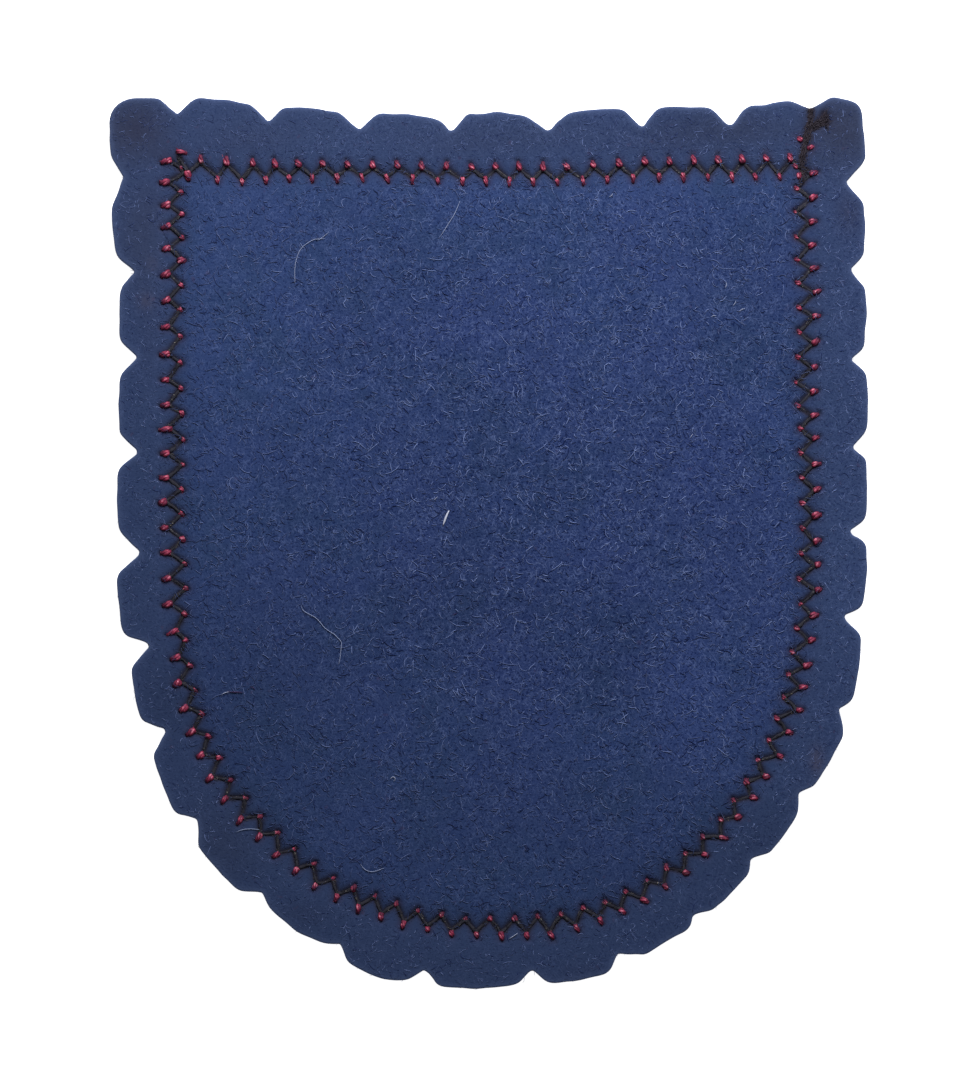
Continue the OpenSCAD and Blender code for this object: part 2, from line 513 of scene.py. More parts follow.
    def _streaks(self, sheet: ShaderSheet, here: Wire, bent: Wire, calm: Wire) -> tuple[Wire, Wire]:
        """Draws the matted fibres, gathered in tufts.

        Args:
            sheet: The material's sheet.
            here: The place.
            bent: The place after its drift.
            calm: How much of the fibres shows there.

        Returns:
            How strong the light fibres are, and the dark streaks that paint the shade between them.
        """
        light: Any = 0.0
        dark: Any = 0.0
        for number, turn in enumerate(self.streak_turns):
            lie = sheet.turned(bent, turn, self.streak_stretch, self.streak_shift * number)
            lay = sheet.noise(lie, 1.0, 2.0, self.streak_rough)
            light = sheet.step(lay, *self.light_steps) | light
            dark = sheet.step(lay, *self.dark_steps) | dark
        tufts = sheet.patches(here, self.tufts)
        between, more = self.light_tufts
        light = light * (between + tufts * more) * calm
        between, more = self.dark_tufts
        return light, dark * (between + tufts * more) * calm

    def _dye(self, sheet: ShaderSheet, here: Wire, rim: Wire, nap: Wire) -> Wire:
        """Mixes the felt's ground colour.

        Args:
            sheet: The material's sheet.
            here: The place.
            rim: How far out in the rim it is.
            nap: How rough the nap is there.

        Returns:
            The colour under the fibres.
        """
        bloom = sheet.patches(sheet.turned(here, self.bloom_turn, (1, 1, 1), self.bloom_shift), self.bloom)
        lint = sheet.patches(sheet.turned(here, self.specks_turn, (1, 1, 1), self.specks_shift), self.specks)
        return sheet.layered(self.green_navy, (
            (sheet.patches(here, self.cloud), self.blue),
            (bloom * self.bloom_share, self.blue_violet),
            ((1.0 - nap) * self.dull_share, self.dull),
            (rim * self.rim_share, self.rim_grey),
            (sheet.attribute("greyed"), self.greyed),
            (lint * self.lint_share, self.lint),
            (sheet.attribute("darkened") * self.darkened_share, self.darkened),
            (sheet.attribute("tan") * self.tan_share, self.tan)))


@dataclass(frozen=True)
class ThreadFinish:
    """Spun sewing thread: a base colour, brighter glints and a faint fuzz."""

    name: str
    base: tuple
    bright: tuple
    deep: tuple
    rough: float
    shine: float
    glint: Pattern
    wear: Pattern = Pattern(2.2, 1.0, 0.5, 0.56, 0.34)
    wear_share: float = 0.6
    fuzz: Pattern = Pattern(8.0, 2.0, 0.6, 0.45, 0.30)
    fuzz_share: float = 0.5
    relief: float = 0.4
    relief_depth: float = 0.04 * MM

    def build(self) -> Material:
        """Builds the thread's material.

        Returns:
            The material, which reads the thread's own depth value: dark above nought, for painted
            shade and for the strand's own darker tone, and light below it, for a painted highlight and for
            paler fibres.
        """
        sheet = ShaderSheet(self.name)
        here = sheet.millimetres()
        fuzz = sheet.noise(here, self.fuzz.scale, self.fuzz.detail, self.fuzz.rough)
        depth = sheet.attribute("depth")
        tone = sheet.layered(self.base, (
            (sheet.patches(here, self.wear) * self.wear_share, self.deep),
            (sheet.patches(here, self.glint), self.bright),
            (sheet.step(fuzz, self.fuzz.low, self.fuzz.high) * self.fuzz_share, self.deep),
            # Above nought, painted shade and the strand's own darker tone; below nought, a painted highlight
            # and paler fibres
            (depth | 0.0, self.deep),
            (depth * -1.0 | 0.0, self.bright)))
        return sheet.finished({
            "Base Color": tone, "Roughness": self.rough, "Specular IOR Level": self.shine,
            "Normal": sheet.bump(fuzz, self.relief, self.relief_depth)})


@dataclass(frozen=True)
class NapFinish:
    """Loose wool fibres, some paler than others."""

    name: str
    dim: tuple
    pale: tuple
    rough: float = 0.8
    shine: float = 0.2

    def build(self) -> Material:
        """Builds the fibres' material.

        Returns:
            The material, which reads each strand's own depth value.
        """
        sheet = ShaderSheet(self.name)
        tone = sheet.blend(sheet.attribute("depth"), self.pale, self.dim)
        return sheet.finished({
            "Base Color": tone, "Roughness": self.rough, "Specular IOR Level": self.shine})


@dataclass(frozen=True)
class FloorFinish:
    """A plain white paper floor, lit through so that shadows on it are faint."""

    white: tuple = (0.90, 0.90, 0.90, 1.0)
    light: tuple = (1.0, 1.0, 1.0, 1.0)
    glow: float = 0.92
    rough: float = 0.9
    shine: float = 0.1

    def build(self) -> Material:
        """Builds the floor's material."""
        return ShaderSheet("white_paper").finished({
            "Base Color": self.white, "Roughness": self.rough, "Specular IOR Level": self.shine,
            "Emission Color": self.light, "Emission Strength": self.glow})


def add_piece(name: str, points: Array, faces: list, material: Material, values: dict[str, Array]) -> Piece:
    """Makes a mesh piece that rides on the patch and has its own values.

    Args:
        name: The piece's name.
        points: Its vertices.
        faces: Its faces, as lists of vertex numbers.
        material: Its finish.
        values: Named values, one for each vertex.

    Returns:
        The new object.
    """
    mesh = bpy.data.meshes.new(name)
    mesh.from_pydata(points.tolist(), [], faces)
    mesh.polygons.foreach_set("use_smooth", [True] * len(mesh.polygons))
    for label, numbers in values.items():
        mesh.attributes.new(label, "FLOAT", "POINT").data.foreach_set("value", numbers.astype(np.float32))
    mesh.materials.append(material)
    mesh.update()
    piece = bpy.data.objects.new(name, mesh)
    bpy.context.scene.collection.objects.link(piece)
    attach(piece, BODY)
    return piece


@dataclass
class SeamLine:
    """The middle line of the seam, once round from the top right corner.

    It runs left along the top, down the left side, round the bottom and up the
    right side. Its sizes are those of the channel in the felt.
    """

    from_left: float = 6.8 * MM
    from_right: float = 6.3 * MM
    from_top: float = 7.9 * MM
    from_bottom: float = 6.4 * MM
    side_share: float = 0.48
    corner_share: float = 0.915
    blend: float = math.radians(30)
    step: float = 0.25 * MM
    points: Array = field(init=False)
    near: Nearest = field(init=False)

    def __post_init__(self) -> None:
        """Works the line out from its sizes and the felt's box."""
        low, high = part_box(FELT_NODE)
        left, right = low.x + self.from_left, high.x - self.from_right
        top, bottom = high.y - self.from_top, low.y + self.from_bottom
        middle = (left + right) / 2
        half = (right - left) / 2
        turn_y = top - self.side_share * (high.y - low.y)
        drop = turn_y - bottom
        corner_r = self.corner_share * half
        left_over = corner_r * (math.cos(self.blend) - math.sin(self.blend))
        rise, reach = 1 - math.cos(self.blend), math.sin(self.blend)
        squares = reach ** 2 - rise ** 2
        side_r = (reach * (drop - left_over) - rise * (half - left_over)) / squares
        bottom_r = (reach * (half - left_over) - rise * (drop - left_over)) / squares
        side_mid = np.array([left + side_r, turn_y])
        corner_mid = side_mid - (side_r - corner_r) * np.array([math.cos(self.blend), math.sin(self.blend)])
        bottom_mid = np.array([middle, bottom + bottom_r])
        quarter = math.pi / 2
        left_half = np.vstack([
            self._arc(side_mid, side_r, 0.0, self.blend),
            self._arc(corner_mid, corner_r, self.blend, quarter - self.blend)[1:],
            self._arc(bottom_mid, bottom_r, quarter - self.blend, quarter)[1:],
        ])
        right_half = (left_half * (-1, 1) + (2 * middle, 0))[::-1]
        line = np.vstack([
            self._run((right, top), (left, top)), self._run((left, top), (left, turn_y)),
            left_half, right_half, self._run((right, turn_y), (right, top))])
        apart = np.linalg.norm(np.diff(line, axis=0), axis=1) > 1e-9
        self.points = line[np.r_[True, apart]]
        self.near = Nearest(self.points, closed=True)

    def _arc(self, middle: Array, radius: float, start: float, end: float) -> Array:
        """Gives points on an arc of the left side, by the turn from straight left."""
        turns = np.linspace(start, end, max(4, int(radius * (end - start) / self.step)))
        return middle - radius * np.stack([np.cos(turns), np.sin(turns)], 1)

    def _run(self, start: Sequence[float], end: Sequence[float]) -> Array:
        """Gives points on a straight stretch."""
        count = max(2, int(math.dist(start, end) / self.step))
        return np.linspace(start, end, count)

    def outside(self, points: Array) -> Array:
        """Gives each point's distance outside the line, below nought inside it."""
        return self.near.right_of(points)


class Side(Enum):
    """Which side of the seam a stitch's loop is on; the value turns outwards round."""

    OUTER = 1
    INNER = -1


@dataclass
class Stitch:
    """One point of the zigzag, with the red loop that locks it.

    A length of nought stands for a point with no loop. The heading is the way in
    which the loop leads off from the dark thread, the value after the width is how
    darkly painted shade covers the end that dives into the felt, and lit is how brightly a painted highlight
    lights its head.
    """

    spot: Array
    loop: Array
    heading: float
    length: float
    width: float
    end_shade: float = 0.0
    lit: float = 1.0

    def axis(self) -> Array:
        """Gives the loop's own direction."""
        return np.array([math.cos(self.heading), math.sin(self.heading)])


@dataclass
class ZigzagSeam:
    """The machine zigzag: where its points and its red lock loops lie."""

    line: SeamLine
    outer_back: float = 0.36 * MM
    inner_shift: float = 0.05 * MM
    # Painted shade on the ends of the loops that dive into the felt: outer, inner and in the crowded corner
    outer_end_shade: float = 0.75
    inner_end_shade: float = 1.0
    crowded_end_shade: float = 0.5
    hole_gap: float = -0.08 * MM
    lean: float = math.radians(16)
    downhill_lean: float = 0.7
    # How far one stitch differs from the next: in place, in millimetres, ahead
    # and outwards, and in lean, length and width
    stray_ahead: float = 0.035
    stray_out: float = 0.03
    stray_lean: float = math.radians(8)
    stray_length: float = 0.10
    stray_width: float = 0.09
    stitches: list[Stitch] = field(default_factory=list)

    # Loops by the way of sewing there: its X and Y, the outer loop's length and
    # width, the inner loop's, how far behind its middle the inner corner lies,
    # and the inner loop's lean ahead in degrees
    SIZES = ((-1, 0, 0.98 * MM, 0.66 * MM, 1.04 * MM, 0.51 * MM, 0.20 * MM, -6),
             (0, -1, 1.10 * MM, 0.72 * MM, 0.72 * MM, 0.58 * MM, 0.02 * MM, 50),
             (1, 0, 0.98 * MM, 0.56 * MM, 0.66 * MM, 0.57 * MM, 0.04 * MM, 0),
             (0, 1, 0.95 * MM, 0.66 * MM, 0.70 * MM, 0.58 * MM, 0.02 * MM, 45))

    # Landmarks in the order of sewing, from the top right corner: the middle of
    # an outer loop and of the inner loop sewn after it, in pixels of the
    # photograph, and the number of even stitches up to the next landmark
    TOP_PX = (
        (789.5, 156.4, 780.1, 175.1, 3), (718.1, 158.2, 708.6, 175.9, 3), (644.8, 159.5, 633.6, 176.8, 3),
        (566.4, 164.4, 556.6, 180.8, 4), (471.1, 165.1, 462.4, 180.1, 4), (372.0, 163.0, 361.8, 176.3, 3),
        (297.6, 162.0, 288.9, 177.4, 2), (251.4, 160.8, 242.3, 180.1, 2), (200.8, 157.6, 191.7, 177.0, 0),
    )
    LEFT_PX = (
        (164.5, 181.4, 180.8, 190.1, 3), (165.1, 248.3, 181.6, 259.0, 2), (165.4, 299.8, 180.1, 308.9, 2),
        (164.1, 353.5, 179.5, 361.4, 3), (165.1, 428.6, 182.4, 438.3, 3), (162.6, 501.4, 181.0, 513.3, 3),
        (166.0, 577.6, 185.1, 587.3, 1), (166.8, 603.3, 184.8, 613.5, 1), (172.3, 632.0, 185.1, 639.3, 2),
        (176.8, 682.6, 194.8, 689.8, 2), (189.8, 731.7, 208.4, 736.0, 2), (209.2, 778.1, 230.2, 779.2, 2),
        (239.5, 819.5, 259.8, 815.9, 2), (275.5, 854.5, 294.2, 848.5, 2), (315.0, 886.0, 332.6, 878.0, 2),
        (358.3, 908.9, 375.4, 896.1, 2), (403.0, 924.1, 417.3, 909.9, 2), (452.0, 933.3, 465.5, 918.5, 2),
        (502.0, 935.5, 514.3, 918.0, 2), (552.0, 934.8, 560.8, 913.9, 2), (600.8, 920.8, 605.1, 902.3, 2),
        (645.1, 899.8, 647.0, 880.8, 2), (686.6, 872.4, 686.3, 852.6, 2), (724.1, 836.9, 721.2, 819.8, 2),
        (754.1, 796.6, 746.6, 780.6, 2), (780.7, 754.9, 769.5, 739.5, 2), (800.1, 709.0, 784.5, 696.6, 2),
        (808.6, 663.9, 792.6, 651.4, 2), (814.8, 614.3, 800.8, 603.5, 1), (819.1, 588.9, 799.9, 578.0, 2),
        (818.0, 539.5, 802.4, 527.6, 2), (817.6, 488.3, 801.6, 476.6, 2), (815.8, 436.6, 800.1, 427.6, 2),
        (814.5, 390.4, 796.6, 381.6, 2), (816.1, 340.4, 799.5, 330.4, 2), (817.4, 290.1, 798.3, 282.0, 2),
        (812.9, 243.9, 796.4, 235.8, 2), (814.1, 195.8, 796.6, 187.0, 1), (814.5, 172.0, 797.0, 163.2, 0),
    )
    # The crowded top left corner, in the order of sewing: a loop's middle and
    # the thread's corner by it, in pixels, the loop's size, the turn from
    # straight right of its free end, and how brightly its head shines
    CORNER_PX = (
        (187.8, 175.0, 188.6, 171.0, 1.15 * MM, 0.80 * MM, -83, 0.25),
        (181.6, 151.0, 178.0, 156.0, 1.30 * MM, 0.52 * MM, -12, 0.8),
        (180.6, 166.6, 180.6, 167.0, 0.60 * MM, 0.46 * MM, -60, 1.0),
        (165.8, 160.1, 172.5, 161.0, 1.30 * MM, 0.70 * MM, 195, 0.7),
        (184.0, 171.0, 184.0, 171.5, 0.0, 0.0, 0, 0.0),
    )
    # Loops that stand out from the rest: place in pixels, length, width and turn
    ODD_PX = ((165.1, 428.6, 1.60 * MM, 0.66 * MM, 188), (172.3, 632.0, 1.50 * MM, 0.62 * MM, 205),
              (181.6, 259.0, 1.00 * MM, 0.80 * MM, 0))
    ODD_REACH = 0.5 * MM
    # Where the zigzag's two ends meet, under the starting thread
    JOIN_PX = (801.5, 167.5)

    def __post_init__(self) -> None:
        """Lays every stitch in sewing order, with a hand's unevenness."""
        chance = np.random.default_rng(41)
        self.stitches += self._sewn_row(self.TOP_PX, chance)
        self.stitches += [self._crowded(row) for row in self.CORNER_PX]
        self.stitches += self._sewn_row(self.LEFT_PX, chance)
        for x, y, length, width, turn in self.ODD_PX:
            for stitch in self.stitches:
                if np.linalg.norm(stitch.loop - place(x, y)) < self.ODD_REACH:
                    stitch.length, stitch.width, stitch.heading = length, width, math.radians(turn)

    def _sewn_row(self, table: Sequence[Sequence[float]], chance: Chance) -> list[Stitch]:
        """Sews evenly from landmark to landmark.

        Args:
            table: The landmarks.
            chance: Where the row's unevenness comes from.

        Returns:
            The row's stitches in order.
        """
        outer, inner = [], []
        for start, end in zip(table, table[1:]):
            *spots, count = start
            for k in range(count):
                part = k / count
                x, y, inner_x, inner_y = [(1 - part) * a + part * b for a, b in zip(spots, end)]
                outer.append(place(x, y))
                inner.append(place(inner_x, inner_y))
        outer.append(place(*table[-1][:2]))
        ahead = unit_rows(np.gradient(np.array(outer), axis=0))
        stitches = []
        for number, (spot, way) in enumerate(zip(outer, ahead)):
            stitches.append(self._sewn(spot, way, Side.OUTER, chance))
            if number < len(inner):
                stitches.append(self._sewn(inner[number], way, Side.INNER, chance))
        return stitches

    def _sewn(self, spot: Array, ahead: Array, side: Side, chance: Chance) -> Stitch:
        """Makes one stitch of an even row.

        Args:
            spot: The middle of its loop.
            ahead: The direction of sewing there.
            side: Its side of the seam.
            chance: Where its unevenness comes from.

        Returns:
            The stitch.
        """
        slip, sway, turn, size, fat = chance.normal(size=5)
        outer = side is Side.OUTER
        outwards = np.array([ahead[1], -ahead[0]]) * side.value
        spot = spot + (self.stray_ahead * slip * ahead + self.stray_out * sway * outwards) * MM
        downhill = max(0.0, (ahead[0] - ahead[1]) / math.sqrt(2))
        outer_long, outer_wide, inner_long, inner_wide, inner_back, inner_lean = self._sizes(ahead)
        lean = self.lean * (1 - self.downhill_lean * downhill ** 4) if outer else math.radians(inner_lean)
        lean += self.stray_lean * turn
        axis = outwards * math.cos(lean) + ahead * math.sin(lean)
        back = self.outer_back if outer else inner_back
        length = (outer_long if outer else inner_long) * (1 + self.stray_length * size)
        width = (outer_wide if outer else inner_wide) * (1 + self.stray_width * fat)
        end_shade = self.outer_end_shade if outer else self.inner_end_shade
        middle = spot if outer else spot + self.inner_shift * axis
        return Stitch(spot - back * axis, middle, math.atan2(axis[1], axis[0]), length, width, end_shade)

    def _sizes(self, ahead: Array) -> Array:
        """Gives the loops' sizes for a way of sewing, from the sides of the seam nearest to it.

        Args:
            ahead: The direction of sewing.

        Returns:
            The sizes, in the order of a row of SIZES.
        """
        rows = np.array(self.SIZES)
        share = np.clip(rows[:, :2] @ ahead, 0, None) ** 2
        return share @ rows[:, 2:] / share.sum()

    def _crowded(self, row: Sequence[float]) -> Stitch:
        """Makes one stitch of the crowded corner from its row."""
        x, y, tip_x, tip_y, length, width, turn, lit = row
        return Stitch(place(tip_x, tip_y), place(x, y), math.radians(turn), length, width,
                      self.crowded_end_shade, lit)

    def tips(self) -> Array:
        """Gives the dark thread's corners in order, with its two ends in the starting thread."""
        ends = [place(*self.JOIN_PX)]
        return np.array(ends + [stitch.spot for stitch in self.stitches] + ends)

    def looped(self) -> list[Stitch]:
        """Gives the stitches that show a loop."""
        return [stitch for stitch in self.stitches if stitch.length > 0]

    def holes(self) -> Array:
        """Gives the needle holes, just beyond the free end of each loop."""
        return np.array([s.loop + (0.5 * s.length + self.hole_gap) * s.axis() for s in self.looped()])


@dataclass
class StartingThread:
    """The thread's first stretch, from the edge down to the seam, and its tail."""

    # The run in pixels of the photograph: place and half width
    RUN_PX = ((810.8, 107.5, 2.1), (810.8, 119.5, 2.4), (808.6, 129.0, 3.8), (806.2, 138.0, 3.6),
              (804.6, 147.0, 2.6), (802.6, 156.5, 3.6), (801.6, 164.0, 4.0), (802.6, 172.0, 3.6),
              (801.4, 180.0, 2.2))
    # Each short leg off the run: from, to
    LEGS_PX = (((806.5, 134.0), (801.8, 138.0)), ((804.5, 150.0), (809.3, 147.0)),
               ((803.0, 166.0), (796.6, 163.2)), ((804.0, 172.0), (800.0, 173.5)),
               ((802.5, 164.0), (811.0, 172.5)), ((803.6, 181.5), (798.6, 185.6)))
    # The loose tail's strands, from the run to their free ends
    TAIL_PX = (((808.8, 128.5), (815.5, 124.0), (822.0, 120.5), (828.6, 119.0)),
               ((809.0, 127.0), (815.0, 123.0), (820.5, 119.0), (824.2, 112.2)),
               ((808.5, 129.0), (815.5, 125.5), (821.5, 122.8), (826.5, 122.6)),
               ((809.5, 126.5), (814.5, 123.5), (821.0, 119.5), (827.0, 115.2)))
    # Red loops along the run: place, length, width, turn from straight right
    LOOPS_PX = ((799.6, 137.6, 0.76, 0.64, 120), (811.4, 146.0, 0.95, 0.54, 16),
                (795.4, 164.4, 0.78, 0.48, 118), (799.6, 173.8, 0.80, 0.66, 65))
    # Painted shade on the diving ends of the run's loops
    LOOPS_END_SHADE = 0.4

    def run(self) -> Array:
        """Gives the run's places."""
        return np.array([place(x, y) for x, y, _ in self.RUN_PX])

    def run_width(self) -> Array:
        """Gives the run's half width at each of its places."""
        return np.array([half for _, _, half in self.RUN_PX]) * PIXEL

    def legs(self) -> list[Array]:
        """Gives each short leg's two ends."""
        return [np.array([place(*spot) for spot in leg]) for leg in self.LEGS_PX]

    def tail(self) -> list[Array]:
        """Gives the places of each strand of the tail."""
        return [np.array([place(*spot) for spot in strand]) for strand in self.TAIL_PX]

    def stitches(self) -> list[Stitch]:
        """Gives the loops along the run."""
        made = []
        for x, y, length, width, turn in self.LOOPS_PX:
            spot = place(x, y)
            made.append(Stitch(spot, spot, math.radians(turn), length * MM, width * MM, self.LOOPS_END_SHADE))
        return made


@dataclass
class FeltSheet:
    """The shield of felt: its cut line, its surface and its mesh."""

    seam: ZigzagSeam
    start: StartingThread
    thickness: float = 1.5 * MM
    edge_step: float = 0.34 * MM
    edge_softening: int = 2
    fine_step: float = 0.19 * MM
    coarse_step: float = 0.62 * MM
    under_step: float = 1.3 * MM
    band: float = 2.0 * MM
    valley_d: float = 0.20 * MM
    valley_w: float = 1.6 * MM
    groove_d: float = 0.14 * MM
    groove_w: float = 0.34 * MM
    under_groove: float = 1.2
    start_gap: float = 0.8 * MM
    hole_d: float = 0.22 * MM
    hole_w: float = 0.26 * MM
    wave: float = 0.045 * MM
    wave_length: float = 26 * MM
    wave_calm: float = 3.0
    wave_share: float = 0.5
    pucker_h: float = 0.07 * MM
    pucker_w: float = 1.5 * MM
    pucker_clear: float = 0.7 * MM
    # Painted shade in the felt round the dark thread, its needle holes and the red loops, and less of it on
    # the lower face
    thread_shade: float = 0.78
    thread_shade_w: float = 0.33 * MM
    wide_shade: float = 0.38
    wide_shade_w: float = 0.85 * MM
    hole_shade: float = 0.66
    hole_shade_w: float = 0.30 * MM
    loop_shade: float = 0.42
    loop_shade_w: float = 0.50 * MM
    under_shade: float = 0.6
    blush: float = 0.45
    blush_w: float = 0.50 * MM
    rim_from: float = -0.6 * MM
    rim_w: float = 1.8 * MM
    rough_reach: float = 58 * MM
    greyed_nap: float = 0.5
    rim_change: float = 40 * MM
    rim_nap_usual: float = 0.88
    rim_nap_change: float = 0.12
    rim_nap_top: float = 0.42
    smooth_top: float = 9 * MM
    pressed: float = 0.45
    pressed_w: float = 2.0 * MM
    snip: float = 0.04 * MM
    snip_softening: int = 3
    snip_range: tuple = (-1.6, 2.2)
    spread: float = 0.09 * MM
    edge_w: float = 0.45 * MM
    # The painted highlight along the edge has a narrower core, half as strong, and stops on the side walls
    core_share: float = 0.5
    core_w: float = 0.4
    upper_from: float = 0.4
    lit_from: float = 0.8
    # The points of a face are set in triangles, a little unevenly, clear of its edge
    row_share: float = 0.866
    uneven: float = 0.18
    band_clear: float = 0.3
    edge_clear: float = 0.55
    under_fine: float = 2.2
    cover_h: float = 0.20 * MM
    cover_w: float = 0.30 * MM
    loop_h: float = 0.42 * MM
    loop_w: float = 0.55 * MM
    cut_line: Array = field(init=False)

    # How level a side wall of the frame looks, and how near the floor its lower edge lies
    WALL_SLOPE = 0.1
    WALL_FOOT = 0.01 * MM
    # The rounded cut edge, from the top face round to the under face: how far
    # inside the cut line a ring lies, and its share of the felt's thickness
    EDGE = ((0.70 * MM, 1.00), (0.45 * MM, 1.00), (0.26 * MM, 1.00), (0.12 * MM, 0.99), (0.04 * MM, 0.96),
            (0.0, 0.88), (-0.02 * MM, 0.5),
            (0.0, 0.18), (0.05 * MM, 0.08), (0.16 * MM, 0.02), (0.34 * MM, 0.0))
    # Where the nap is roughest, in pixels of the photograph
    ROUGHEST_PX = (600, 470)
    # Darker spots: place in pixels of the photograph, half width, half height, strength
    DARKENED_PX = ((140, 128, 26, 22, 0.75), (160, 150, 22, 16, 0.45), (850, 212, 14, 22, 0.8),
                  (150, 330, 12, 60, 0.30), (152, 205, 12, 24, 0.35), (245, 140, 40, 12, 0.30),
                  (480, 145, 60, 10, 0.22), (660, 140, 40, 12, 0.30), (843, 128, 14, 14, 0.25),
                  (300, 912, 40, 10, 0.25), (800, 800, 10, 26, 0.2), (585, 972, 30, 8, 0.3))
    TANS_PX = ((817, 760, 7, 14, 0.7), (146, 300, 8, 8, 0.45), (152, 262, 6, 8, 0.25))
    # Places, mostly along the top and at the upper corners, where the felt is greyer and darker and its nap
    # smoother
    GREYED_PX = ((128, 128, 46, 44, 0.70), (260, 128, 120, 26, 0.20), (500, 130, 160, 22, 0.25),
                (845, 128, 46, 46, 0.80), (140, 235, 26, 60, 0.50), (730, 128, 80, 22, 0.50),
                (222, 842, 40, 40, 0.30))
    # Broad places that are lighter, or below nought darker, than the rest
    TONES_PX = ((230, 260, 90, 110, 0.09), (235, 450, 70, 100, 0.07), (745, 250, 80, 100, -0.09),
                (850, 128, 60, 60, -0.12), (730, 120, 70, 26, -0.12), (260, 700, 90, 90, -0.09),
                (225, 845, 50, 50, -0.03), (166, 700, 26, 40, -0.16), (705, 700, 90, 90, 0.14),
                (845, 590, 36, 110, 0.14), (760, 842, 40, 36, -0.14), (660, 128, 110, 24, -0.10),
                (500, 134, 90, 22, -0.06), (140, 500, 26, 120, -0.07), (300, 930, 60, 30, -0.05),
                (615, 662, 42, 46, -0.13), (707, 706, 34, 34, 0.07), (845, 270, 26, 50, -0.05),
                (520, 600, 60, 40, -0.05), (380, 330, 70, 60, -0.04), (560, 300, 80, 60, 0.04),
                (490, 480, 110, 100, -0.07), (450, 610, 160, 60, -0.07), (130, 300, 30, 90, -0.05))
    # Soft dark smears of loose thread
    SMEARS_PX = (
        (824.5, 120.5, 4.5, 6.0, 0.75), (819.5, 126.5, 6.0, 4.5, 0.50), (826.0, 114.5, 3.5, 4.0, 0.45),
        (812.0, 129.5, 6.0, 5.0, 0.65), (799.5, 157.0, 5.0, 8.0, 0.50), (805.5, 135.0, 6.5, 6.5, 0.60),
        (810.8, 116.0, 4.0, 12.0, 0.75), (804.6, 147.0, 5.5, 9.0, 0.70), (802.0, 168.0, 8.0, 10.0, 0.75),
        (811.0, 136.0, 4.5, 6.0, 0.80), (801.0, 181.0, 4.0, 5.0, 0.60), (800.0, 148.0, 4.5, 6.0, 0.45),
        (812.0, 150.0, 4.5, 5.0, 0.40), (808.0, 158.0, 4.0, 8.0, 0.50),
    )

    def __post_init__(self) -> None:
        """Reads the cut line from the frame and settles the surface's waves."""
        self.cut_line = self._read_cut_line()
        self.cut_line = self.cut_line + (self._snips() - self.spread)[:, None] * self._inwards()
        self.waves = Waves(np.random.default_rng(7), self.wave_length)
        self.near_zigzag = Nearest(self.seam.tips())
        loose = [self.start.run()] + self.start.tail()
        self.near_start = Nearest(np.vstack([Nearest(line).dense for line in loose]), None)
        lines = [self.near_zigzag.dense, self.near_start.dense]
        lines += [Nearest(leg).dense for leg in self.start.legs()]
        self.near_threads = Nearest(np.vstack(lines), None)
        self.near_cut = Nearest(self.cut_line, closed=True)
        self.near_holes = Nearest(self.seam.holes(), None)
        looped = self.seam.looped() + self.start.stitches()
        self.near_loops = Nearest(np.array([stitch.loop for stitch in looped]), None)

    def _read_cut_line(self) -> Array:
        """Chains the lowest edge of the frame's side walls into one loop.

        Returns:
            The loop's corners, clockwise as seen from above, evenly close.
        """
        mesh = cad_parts[FELT_NODE].data
        spots = np.array([v.co for v in mesh.vertices])
        low = spots[:, 2].min() + self.WALL_FOOT
        after: dict[tuple, tuple] = {}
        def key(number: int) -> tuple:
            """Gives a vertex's place in whole micrometres, to tell equal places."""
            return tuple(np.round(spots[number][:2] / MM, 3))
        for face in mesh.polygons:
            if abs(face.normal.z) > self.WALL_SLOPE:
                continue
            corners = list(face.vertices)
            for first, second in zip(corners, corners[1:] + corners[:1]):
                if spots[first][2] < low and spots[second][2] < low and key(first) != key(second):
                    after[key(second)] = key(first)
        here = max(after, key=lambda spot: spot[1])
        loop = [here]
        while after[loop[-1]] != here:
            loop.append(after[loop[-1]])
        corners = np.array(loop) * MM
        dense = []
        for first, second in zip(corners, np.roll(corners, -1, axis=0)):
            count = max(1, int(np.linalg.norm(second - first) / self.edge_step))
            dense += [first + (second - first) * k / count for k in range(count)]
        return evened_loop(np.array(dense), self.edge_softening)

    def _snips(self) -> Array:
        """Gives how far the scissors strayed at each point of the cut line."""
        chance = np.random.default_rng(19)
        stray = chance.normal(size=len(self.cut_line)) + chance.normal(size=len(self.cut_line)) ** 3 / 3
        return self.snip * np.clip(evened_loop(stray, self.snip_softening), *self.snip_range)

    def _inwards(self) -> Array:
        """Gives the direction into the felt at each point of the cut line."""
        way = unit_rows(np.roll(self.cut_line, -1, axis=0) - self.cut_line)
        return rightwards(unit_rows(way + np.roll(way, 1, axis=0)))

    def _spots(self, inner_ring: Array, step: float, fine: float) -> Array:
        """Scatters the inner points of a face, closer together near the seam.

        Args:
            inner_ring: The loop that the points stay inside.
            step: Their distance from each other away from the seam.
            fine: Their distance near the seam.

        Returns:
            The points.
        """
        chance = np.random.default_rng(11)
        low, high = inner_ring.min(0), inner_ring.max(0)
        def hexes(pitch: float) -> Array:
            """Gives points over the whole box, in offset rows."""
            xs = np.arange(low[0], high[0], pitch)
            ys = np.arange(low[1], high[1], pitch * self.row_share)
            grid = np.stack(np.meshgrid(xs, ys), -1)
            grid[1::2, :, 0] += pitch / 2
            flat = grid.reshape(-1, 2)
            return flat + chance.uniform(-self.uneven, self.uneven, flat.shape) * pitch
        wide, close = hexes(step), hexes(fine)
        wide = wide[self.seam_gap(wide) > self.band + self.band_clear * step]
        close = close[self.seam_gap(close) < self.band]
        edge = Nearest(inner_ring, closed=True)
        wide = wide[edge.right_of(wide) > self.edge_clear * min(step, self.edge_step)]
        close = close[edge.right_of(close) > self.edge_clear * min(fine, self.edge_step)]
        return np.vstack([wide, close])

